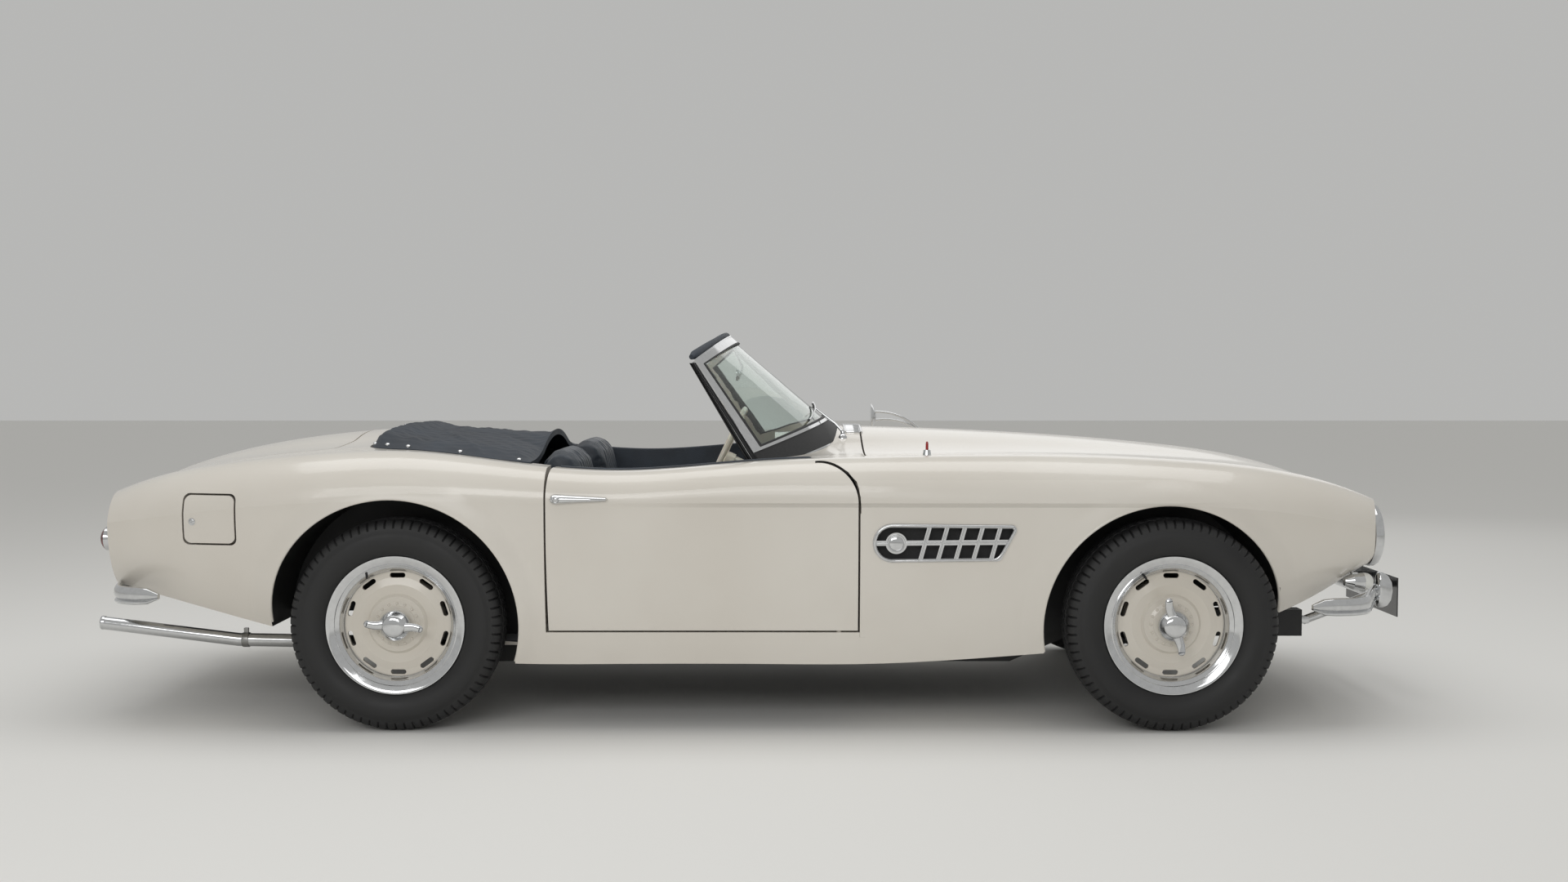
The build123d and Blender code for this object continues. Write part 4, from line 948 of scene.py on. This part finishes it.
lamp = {"rim": 2.026, "y": 0.565, "z": 0.612}
lens = (
    [(93 * t / 12, 22.5 - 20.5 * (t / 12) ** 2) for t in range(13)] + [(93, -1)]
    + [(93 * t / 12, 18.5 - 20.5 * (t / 12) ** 2) for t in range(12, -1, -1)]
)
lampParts = (
    ("Bezel_", chrome, "headlamps", 96, [
        (97.5, -26), (103.5, -22), (105.2, -12), (104.5, -2), (100.5, 4.5), (95.5, 7.5), (91.5, 6.5),
        (90, 3), (91, -16),
    ]),
    ("Bowl_", chrome, None, 72, [(12, -58), (30, -54), (55, -42), (76, -24), (92, 0)]),
    ("Bulb_", whiteLens, None, 24, [(0, -12), (7, -15), (11, -24), (11, -34), (7, -46), (7, -58)]),
    ("Lens_", lampGlass, "headlamps", 96, lens),
)
for hand, side in hands:
    for label, finish, instead, segments, profile in lampParts:
        part = moved(lathe(profile, segments), alongX(lamp["rim"], side * lamp["y"], lamp["z"]))
        fitted("headlamp" + label + hand, part, finish, instead=instead)
print("headlamps fitted")


# bumpers: a bullet-edged upper blade, a thin lower lip and shaped overriders, in millimetres

bumperShape = {
    "cornerRadii": [120, 300, 300, 120], "guardY": 0.370, "stayRadius": 0.0145, "taper": 0.085,
    "section": [
        (-10.5, -26), (-10.5, 24), (-6, 28.5), (0, 28.5), (5.5, 25), (9.2, 18), (10.8, 8), (10.8, -1),
        (8.8, -8.5), (4.5, -12.5), (3, -15), (7.2, -17.2), (10, -20.8), (9.6, -25), (6, -28.3), (-4, -28.8),
    ],
}
# plan line, then the guards' rows of z, half width, back x and front x; stays and brackets are x and z
# in metres
bumpers = {
    "front": {
        "plan": [(1778, -735), (1960, -712), (2122, -330), (2122, 330), (1960, 712), (1778, 735)],
        "z": 391, "outward": 1, "stay": [(1.862, 0.294), (2.112, 0.390)],
        "bracket": (1.8505, 0.285, 1.880, 0.310),
        "guard": [
            (340, 10, 2116, 2136), (346, 17, 2112, 2150), (365, 20.5, 2110, 2163), (395, 21.5, 2110, 2168),
            (425, 20.5, 2110, 2165), (448, 17, 2112, 2152), (459, 11, 2116, 2136), (462, 4, 2122, 2128),
        ],
    },
    "rear": {
        "plan": [(-1930, -742), (-2080, -716), (-2190, -330), (-2190, 330), (-2080, 716), (-1930, 742)],
        "z": 428, "outward": -1, "stay": [(-2.184, 0.409), (-1.975, 0.409)], "bracket": None,
        "guard": [
            (374, 10, -2176, -2192), (382, 17, -2172, -2200), (405, 20.5, -2170, -2207),
            (440, 21.5, -2170, -2210), (470, 19.5, -2170, -2206), (488, 15, -2173, -2196),
            (496, 6, -2178, -2186),
        ],
    },
}


def filletPath(points, radii, steps=10):
    # plan line with rounded corners
    path = [Vector(points[0])]
    for before, corner, after, radius in zip(points, points[1:], points[2:], radii):
        before, corner, after = Vector(before), Vector(corner), Vector(after)
        a, b = (before - corner).normalized(), (after - corner).normalized()
        half = a.angle(b) / 2
        reach = radius / math.tan(half)
        middle = corner + (a + b).normalized() * (radius / math.sin(half))
        start, end = corner + a * reach - middle, corner + b * reach - middle
        for k in range(steps + 1):
            path.append(middle + start.slerp(end, k / steps).normalized() * radius)
    path.append(Vector(points[-1]))
    return path


def bumperBlade(bumper):
    points = [(x / 1000, y / 1000, bumper["z"] / 1000) for x, y in bumper["plan"]]
    path = filletPath(points, [r / 1000 for r in bumperShape["cornerRadii"]])
    fine = []
    for a, b in zip(path, path[1:]):
        steps = max(1, int((b - a).length / 0.03))
        fine += [a.lerp(b, k / steps) for k in range(steps)]
    fine.append(path[-1])
    length = [0.0]
    for a, b in zip(fine, fine[1:]):
        length.append(length[-1] + (b - a).length)
    rings = []
    for i, point in enumerate(fine):
        along = (fine[min(i + 1, len(fine) - 1)] - fine[max(i - 1, 0)]).normalized()
        out = Vector((along.y, -along.x, 0)) * bumper["outward"]
        fromEnd = min(length[i], length[-1] - length[i])
        swell = 0.30 + 0.70 * math.sqrt(1 - (1 - min(1.0, fromEnd / bumperShape["taper"])) ** 2)
        rings.append([
            point + out * (o / 1000 * (0.6 + 0.4 * swell)) + Vector((0, 0, u / 1000 * swell))
            for o, u in bumperShape["section"]
        ])
    return loftRings(rings)


def overrider(rows, y):
    # upright guard
    rings = []
    for z, halfWide, back, front in rows:
        ring = []
        for c, s in circle(20):
            x = mix(back, front, 0.5 + 0.5 * math.copysign(abs(c) ** 0.7, c)) / 1000
            ring.append((x, y + halfWide / 1000 * math.copysign(abs(s) ** 0.8, s), z / 1000))
        rings.append(ring)
    return loftRings(rings)


for end, bumper in bumpers.items():
    parts = [bumperBlade(bumper)]
    for side in (1, -1):
        y = side * bumperShape["guardY"]
        parts += [
            overrider(bumper["guard"], y),
            tube([(x, y, z) for x, z in bumper["stay"]], bumperShape["stayRadius"], 12),
        ]
        if bumper["bracket"]:
            rear, low, front, high = bumper["bracket"]
            parts.append(block((rear, y - 0.015, low), (front, y + 0.015, high), 0.003))
    fitted(end + "BumperBlade", joined(parts), chrome, instead=end + "_bumper")
print("bumpers shaped")


# windscreen trims: rubber seals, hood roll, inner mirror and wipers

screen = {
    "cornerLow": Vector((-0.018, 0.622, 0.866)), "middleLow": Vector((0.247, 0, 0.958)),
    "cornerHigh": Vector((-0.222, 0.550, 1.182)), "middleHigh": Vector((-0.121, 0, 1.268)), "half": 0.011,
    # each rib behind a pillar: how far back, how far in, half width, half depth
    "ribs": [
        (0.0045, -0.001, 0.0062, 0.0080), (0.0165, -0.002, 0.0056, 0.0070), (0.0270, -0.003, 0.0050, 0.0062),
    ],
    "brightRib": (0.0108, 0.004, 0.0016, 0.0030), "ribTaper": 0.52,
    "rollReach": 0.985, "rollRadius": 0.0155, "rollBack": 0.0095, "rollRise": 0.0125,
}


def screenPoint(height, share, shift=0.0):
    # a point on the curved screen: height 0 to 1, share -1 (left) to 1 (right), shift outwards
    corner = screen["cornerLow"].lerp(screen["cornerHigh"], height)
    middle = screen["middleLow"].lerp(screen["middleHigh"], height)
    foot = Vector((corner.x, 0, corner.z))
    bulge = (middle - foot).length
    radius = (corner.y**2 + bulge**2) / (2 * bulge)
    angle = share * math.asin(corner.y / radius)
    forward = (middle - foot) / bulge
    across = Vector((0, -(radius + shift) * math.sin(angle), 0))
    return foot + forward * (bulge - radius + (radius + shift) * math.cos(angle)) + across


def screenBand(low, high, shares, inner, outer):
    # a strip of the screen between two heights, closed all round
    return loftRings([[
        screenPoint(low, share, inner), screenPoint(low, share, outer),
        screenPoint(high, share, outer), screenPoint(high, share, inner),
    ] for share in shares])


def pillarRib(side, back, inwards, wide, tall):
    # one rounded rib behind the pillar, narrowing upwards
    rings = []
    for t in evenly(0, 1, 25):
        narrow = mix(1.0, screen["ribTaper"], t)
        edge = screenPoint(mix(-0.035, 0.985, t), side)
        rings.append([
            edge + Vector(((wide * c - back) * narrow, tall * s - side * inwards, 0)) for c, s in circle(12)
        ])
    return loftRings(rings)


half = screen["half"]
fullWidth, glassWidth = evenly(-1.0, 1.0, 49), evenly(-0.943, 0.943, 49)
glassFaces = (-half - 0.001, half + 0.001)
seals = [
    screenBand(-0.12, 0.046, fullWidth, half - 0.004, half + 0.0022),
    screenBand(0.044, 0.050, fullWidth, half - 0.004, half + 0.0034),
    screenBand(0.076, 0.090, glassWidth, *glassFaces), screenBand(0.922, 0.934, glassWidth, *glassFaces),
]
seals += [screenBand(0.086, 0.926, sorted((side * 0.929, side * 0.944)), *glassFaces) for side in (1, -1)]
seals += [pillarRib(side, *rib) for side in (1, -1) for rib in screen["ribs"]]
fitted("screenSeals", joined(seals), seal)
fitted("pillarBrightStrips", joined([pillarRib(side, *screen["brightRib"]) for side in (1, -1)]), chrome)

roll, thickness = [], []
for share in evenly(-screen["rollReach"], screen["rollReach"], 41):
    fromEnd = 1 - abs(share) / screen["rollReach"]
    middle = min(1.0, fromEnd * 2.2)
    thickness.append(screen["rollRadius"] * mix(0.55, 1.0, min(1.0, fromEnd / 0.03)) * mix(1.0, 0.72, middle))
    rise = Vector((-screen["rollBack"], 0, screen["rollRise"] * mix(1.0, 0.75, middle)))
    roll.append(screenPoint(1.0, share) + rise)
fitted("headerHoodRoll", tube(roll, thickness, 20), coverCloth)
fitted("headerBrightEdge", screenBand(0.996, 1.006, fullWidth, half - 0.003, half + 0.0022), chrome)

mirror = {
    "place": Vector((-0.086, 0.0, 1.136)), "half": 0.078, "back": 0.009, "deep": 0.016, "tall": 0.022,
    "stem": 0.95, "stemRadius": 0.004, "foot": [(0, 8), (13, 6), (16, 0), (0, 0)],
}
shell = []
for y in evenly(-mirror["half"], mirror["half"], 13):
    size = math.sqrt(max(0.02, 1 - (y / (mirror["half"] + 0.0015)) ** 6))
    deep, tall = mirror["deep"] * size, mirror["tall"] * size
    shell.append([
        mirror["place"] + Vector((deep * max(0.0, c) - mirror["back"], y, tall * s)) for c, s in circle(16)
    ])
top = screenPoint(mirror["stem"], 0.0, -half)
stem = [mirror["place"] + Vector((0.006, 0, 0)), mirror["place"] + Vector((0.012, 0, 0.03)), top]
foot = moved(lathe(mirror["foot"], 24), Matrix.Translation(top) @ Matrix.Rotation(math.pi, 4, "X"))
fitted("innerMirrorShell", joined([loftRings(shell), tube(stem, mirror["stemRadius"], 12), foot]), chrome)

# the wipers' pivots and sweep; the inlet's bars lie across the cowl
wiper = {
    "x": 0.286, "y": 0.26, "armHeight": 0.019, "tip": (0.185, 0.20), "blade": ((0.115, 0.46), (0.215, 0.02)),
    "pivot": [(0, 26), (5.5, 25.5), (7.5, 21), (7.5, 12), (9.5, 10), (14.5, 4), (16, -6), (0, -6)],
}
inlet = {
    "rear": 0.294, "middle": 0.322, "front": 0.350, "half": 0.19, "bars": 15, "barHalf": 0.0040,
    "edgeHalf": 0.2, "edgeRadius": 0.0048,
}
onBody = surfaceFinder("cowl", "bonnet", "front_wing_left", "front_wing_right")
arms, blades = [], []
for side in (1, -1):
    base = onTop(onBody, wiper["x"], side * wiper["y"]) + Vector((-0.003, 0, 0))
    arms.append(moved(lathe(wiper["pivot"], 28), Matrix.Translation(base)))
    tip = screenPoint(wiper["tip"][0], -side * wiper["tip"][1], half + 0.010)
    knee = base.lerp(tip, 0.30) + Vector((0.004, 0, 0.016))
    arms.append(tube([base + Vector((0, 0, wiper["armHeight"])), knee, tip], [0.0048, 0.0042, 0.0024], 10))
    (lowHeight, lowShare), (highHeight, highShare) = wiper["blade"]
    blade = [
        screenPoint(mix(lowHeight, highHeight, t), -side * mix(lowShare, highShare, t), half + 0.0035)
        for t in evenly(0, 1, 9)
    ]
    blades.append(tube(blade, 0.0030, 8))
    arms.append(tube([p + Vector((0.003, 0, 0.005)) for p in blade], 0.0022, 8))
fitted("wiperArms", joined(arms), chrome)
fitted("wiperBlades", joined(blades), seal)

inletParts = []
for y in evenly(-inlet["half"], inlet["half"], inlet["bars"]):
    z, wide = onTop(onBody, inlet["middle"], y).z, inlet["barHalf"]
    low, high = (inlet["rear"], y - wide, z - 0.004), (inlet["front"], y + wide, z + 0.0065)
    inletParts.append(block(low, high, 0.0022))
for x in (inlet["rear"], inlet["front"]):
    across = evenly(-inlet["edgeHalf"], inlet["edgeHalf"], 17)
    path = [onTop(onBody, x, y) + Vector((0, 0, 0.003)) for y in across]
    inletParts.append(tube(path, inlet["edgeRadius"], 10))
fitted("cowlInletGrille", joined(inletParts), chrome)
print("windscreen trimmed")


# door furniture: rounded handles with a push button, and a roll of hide along each top edge

handle = {
    "rear": -0.6655, "front": -0.4805, "z": 0.7455, "tall": 0.0165, "tipTall": 0.0062, "deep": 0.0215,
    "taperFrom": -0.645, "rearRound": 0.019, "tipRound": 0.008, "least": 0.0006, "sunk": -0.001,
    "buttonX": -0.6425, "buttonOut": 0.0205,
    "button": [
        (0, 5.2), (4, 5), (7.5, 3.8), (8.8, 2), (9, 0), (9.8, -0.5), (10.6, 1.2), (11.6, 0), (11.6, -6),
        (0, -6),
    ],
}
doorRoll = {"rear": -0.668, "front": 0.180, "y": 0.6552, "radius": 0.0052}


def handlePart(find, side):
    rings = []
    for t in evenly(0, 1, 33):
        x = mix(handle["rear"], handle["front"], t)
        taper = (x - handle["taperFrom"]) / (handle["front"] - handle["taperFrom"])
        tall = mix(handle["tall"], handle["tipTall"], max(0.0, taper))
        # both ends are rounded off
        for fromEnd in ((x - handle["rear"]) / handle["rearRound"], (handle["front"] - x) / handle["tipRound"]):
            if fromEnd < 1:
                tall *= math.sqrt(max(0.0, 1 - (1 - fromEnd) ** 2))
        tall = max(tall, handle["least"])
        z = handle["z"] - 0.0005 * t
        y = onFlank(find, x, z, side).y
        deep = handle["deep"] * (tall / handle["tall"]) ** 0.45
        rings.append([
            (x, y + side * (deep * s if s > 0 else handle["sunk"]), z + tall * c) for c, s in circle(16)
        ])
    return loftRings(rings)


for hand, side in hands:
    find = surfaceFinder("door_" + hand)
    buttonY = onFlank(find, handle["buttonX"], handle["z"], side).y + side * handle["buttonOut"]
    button = moved(lathe(handle["button"], 32), alongY(handle["buttonX"], buttonY, handle["z"], side))
    parts = joined([handlePart(find, side), button])
    fitted("doorHandleShell_" + hand, parts, chrome, "door_" + hand, "door_handle_" + hand)
    edge = []
    for x in evenly(doorRoll["rear"], doorRoll["front"], 41):
        point = onTop(find, x, side * (doorRoll["y"] - 0.0007))
        if point is not None:
            edge.append((x, side * doorRoll["y"], point.z + 0.0005))
    if len(edge) > 3:
        fitted("doorTopRoll_" + hand, tube(edge, doorRoll["radius"], 10), leather, "door_" + hand)
print("doors dressed")


# fuel flap lock, aerial tip, tailpipe lips and bores, and clamps; the bores are black discs just inside the pipe
# ends, partly soot and partly painted shade of the pipe's dark inside

fittings = {
    "lock": [(0, 1.2), (1.6, 1.2), (2, 3.4), (7, 4), (8.4, 3.2), (9.2, 1.6), (11.8, 1), (12.2, -3)],
    "tip": [(0, 34), (2, 33.5), (3.6, 31), (4.4, 27), (4.6, 0), (0, 0)],
    "lip": [(20, 0), (22.8, -1), (24, 2), (23.2, 6), (22.2, 12), (21.5, 12), (20, 3)],
    "bore": [(0, 0.4), (19.2, 0), (20, 0.6)],
    "clamp": [(20.5, -11), (24.2, -11), (24.8, -9), (24.8, 9), (24.2, 11), (20.5, 11)],
    "lockX": -1.815, "lockZ": 0.670, "aerial": (0.545, -0.630, 0.8875), "pipeY": 0.480, "pipeZ": 0.3030,
    "lipX": -2.2205, "boreX": -2.2198, "clampX": -1.735, "clampZ": 0.2456, "boltZ": (0.2690, 0.2860),
}
lockPoint, lockNormal = surfaceFinder("fuel_flap")((fittings["lockX"], -1.2, fittings["lockZ"]), (0, 1, 0))
lockMatrix = Matrix.Translation(lockPoint) @ lockNormal.to_track_quat("Z", "Y").to_matrix().to_4x4()
fitted("fuelFlapLock", moved(lathe(fittings["lock"], 32), lockMatrix), chrome, "fuel_flap")
fitted("aerialTip", moved(lathe(fittings["tip"], 24), Matrix.Translation(fittings["aerial"])), redEnamel)

lips, bores, clamps = [], [], []
for side in (1, -1):
    x, y, z = fittings["clampX"], side * fittings["pipeY"], fittings["pipeZ"]
    low, high = fittings["boltZ"]
    lips.append(moved(lathe(fittings["lip"], 40), alongX(fittings["lipX"], y, z)))
    # black disc inside each pipe end: soot, and painted shade for the pipe's dark inside
    bores.append(moved(lathe(fittings["bore"], 40), alongX(fittings["boreX"], y, z)))
    clamps.append(moved(lathe(fittings["clamp"], 40), alongX(x, y, fittings["clampZ"])))
    clamps.append(block((x - 0.008, y - 0.005, low), (x + 0.008, y + 0.005, high), 0.002))
fitted("tailpipeLips", joined(lips), chrome)
fitted("tailpipeSootAndShadeDiscs", joined(bores), chassisBlack)
fitted("exhaustClamps", joined(clamps), steel)


# instruments: three plain dials with bright rings, on the dashboard behind the steering wheel

# each dial's place across the car and its radius in millimetres
dials = {"x": 0.0450, "z": 0.800, "each": [(0.280, 48), (0.400, 52), (0.510, 36)], "marks": 13, "sweep": 260}
faces, rings, needles = [], [], []
for y, radius in dials["each"]:
    turn = Matrix.Translation((dials["x"], y, dials["z"])) @ Matrix.Rotation(-math.pi / 2, 4, "Y")
    rings.append(moved(lathe([
        (radius - 4, 0), (radius - 3, 6), (radius, 8.5), (radius + 4, 6.5), (radius + 5, 0), (radius, -2),
    ], 56), turn))
    faces.append(moved(lathe([(0, 1.6), (radius - 3, 1.6), (radius - 3, -2)], 56), turn))
    reach = radius / 1000
    mark = block((-0.0006, reach * 0.74, 0.0014), (0.0006, reach * 0.86, 0.0022))
    needle = block((-0.0008, -0.006, 0.0024), (0.0008, reach * 0.68, 0.0034))
    for degrees in evenly(90 - dials["sweep"] / 2, 90 + dials["sweep"] / 2, dials["marks"]):
        needles.append(moved(mark, turn @ Matrix.Rotation(math.radians(degrees), 4, "Z")))
    needles.append(moved(needle, turn @ Matrix.Rotation(-0.7, 4, "Z")))
    needles.append(moved(lathe([(0, 4.5), (4, 4.2), (4.5, 1.6)], 20), turn))
fitted("dialRings", joined(rings), chrome)
fitted("dialFaces", joined(faces), blackPlate)
fitted("dialNeedles", joined(needles), ivory)
print("small fittings made")


# side vents: half-round beads on the frame and the bars, and a domed blank badge

vent = {
    "roundX": 0.422, "roundZ": 0.606, "roundRadius": 0.0565, "low": (0.7585, 0.5535), "high": (0.8165, 0.6585),
    "bead": 0.0050, "rib": 0.0026, "middle": ((0.372, 0.6062), (0.790, 0.6098)),
    "firstBar": 0.500, "barStep": 0.056, "bars": 5, "badgeX": 0.434,
    # how often the frame's corners are evened out
    "rounding": 4,
    "badge": [
        (0, 6.2), (8, 6), (16, 5), (21.5, 3.4), (22.5, 2.6), (23.5, 4.6), (26.5, 5), (28.5, 3.6),
        (29.2, 0), (29.2, -3),
    ],
}


def ventBead(find, side, points, radius):
    # a bead along points of the flank, standing half out of the surface that is found there
    path = []
    for x, z in points:
        point = onFlank(find, x, z, side)
        if point is not None and abs(point.y) > 0.772:
            path.append((x, point.y - side * radius * 0.25, z))
    return tube(path, radius, 10) if len(path) > 2 else ([], [])


def straight(a, b, count):
    return [(mix(a[0], b[0], k / count), mix(a[1], b[1], k / count)) for k in range(count + 1)]


find = surfaceFinder("side_vents")
radius = vent["roundRadius"]
turn = [
    (vent["roundX"] + radius * math.cos(a), vent["roundZ"] + radius * math.sin(a))
    for a in [math.radians(degrees) for degrees in range(90, 271, 6)]
]
outline = (
    turn + straight(turn[-1], vent["low"], 40)[1:] + straight(vent["low"], vent["high"], 12)[1:]
    + straight(vent["high"], turn[0], 44)[1:]
)
for rounding in range(vent["rounding"]):
    triples = zip(outline, outline[1:], outline[2:])
    inner = [tuple((a[i] + 2 * b[i] + c[i]) / 4 for i in (0, 1)) for a, b, c in triples]
    outline = [outline[0]] + inner + [outline[-1]]
for hand, side in hands:
    parts = [ventBead(find, side, outline, vent["bead"])]
    parts.append(ventBead(find, side, straight(*vent["middle"], 60), vent["rib"]))
    for foot in [vent["firstBar"] + k * vent["barStep"] for k in range(vent["bars"])]:
        bar = straight((foot + 0.010, 0.551), (foot + 0.040, 0.661), 24)
        parts.append(ventBead(find, side, bar, vent["rib"]))
    badgeY = onFlank(find, vent["badgeX"], vent["roundZ"], side).y
    parts.append(moved(lathe(vent["badge"], 56), alongY(vent["badgeX"], badgeY, vent["roundZ"], side)))
    fitted("sideVentBeads_" + hand, joined(parts), chrome)
print("side vents beaded")


# boot mat, cut to the boot's floor

bootMat = {"floor": 0.5204, "thick": 0.006, "half": [(-2.045, 0.285), (-1.475, 0.345), (-1.450, 0.225)]}
outline = bootMat["half"] + [(x, -y) for x, y in reversed(bootMat["half"])]
mat = loftRings([[(x, y, bootMat["floor"] + rise) for x, y in outline] for rise in (0, bootMat["thick"])])
fitted("bootMat", mat, carpet, smooth=False)
print("boot mat laid")


# camera, floor and light

view = {"place": (0.078, -6.0, 1.163), "lens": 37.8, "pitchDown": 2.56}
camera = added("camera", bpy.data.cameras.new("camera"))
camera.data.lens = view["lens"]
camera.data.sensor_width = 36
camera.location = view["place"]
camera.rotation_euler = (math.radians(90 - view["pitchDown"]), 0, 0)
camera.data.clip_end = 200
bpy.context.scene.camera = camera

studio = {
    "floorSize": 60.0, "floorColour": "#E9E8E5", "worldColour": "#F1F1EF", "worldStrength": 0.54,
    # place, target, size and power of each soft box
    "boxes": {
        "overheadBox": ((0, 0, 5.0), (0, 0, 0), (7.0, 3.0), 102),
        "nearBox": ((-1.5, -6.5, 3.2), (0, 0, 0.5), (5.0, 2.0), 88),
        "farBox": ((2.0, 6.5, 3.5), (0, 0, 0.5), (7.0, 3.0), 36),
    },
}
floorMesh = bpy.data.meshes.new("floor")
edge = studio["floorSize"] / 2
corners = [(-edge, -edge, 0), (edge, -edge, 0), (edge, edge, 0), (-edge, edge, 0)]
floorMesh.from_pydata(corners, [], [(0, 1, 2, 3)])
floor = added("floor", floorMesh)
# matt painted studio floor
floorPaint = newMaterial("paleFloor", {"Roughness": 0.9, "Base Color": linear(studio["floorColour"])})
floorMesh.materials.append(floorPaint)

world = bpy.data.worlds.new("studioWorld")
bpy.context.scene.world = world
world.use_nodes = True
sky = world.node_tree.nodes["Background"]
sky.inputs["Color"].default_value = linear(studio["worldColour"])
sky.inputs["Strength"].default_value = studio["worldStrength"]

for name, (location, target, size, power) in studio["boxes"].items():
    light = bpy.data.lights.new(name, "AREA")
    light.shape = "RECTANGLE"
    light.size, light.size_y = size
    light.energy = power
    softBox = added(name, light)
    softBox.location = location
    softBox.rotation_euler = (Vector(target) - Vector(location)).to_track_quat("-Z", "Y").to_euler()

bpy.context.scene.view_settings.view_transform = "Standard"
print("stage set")
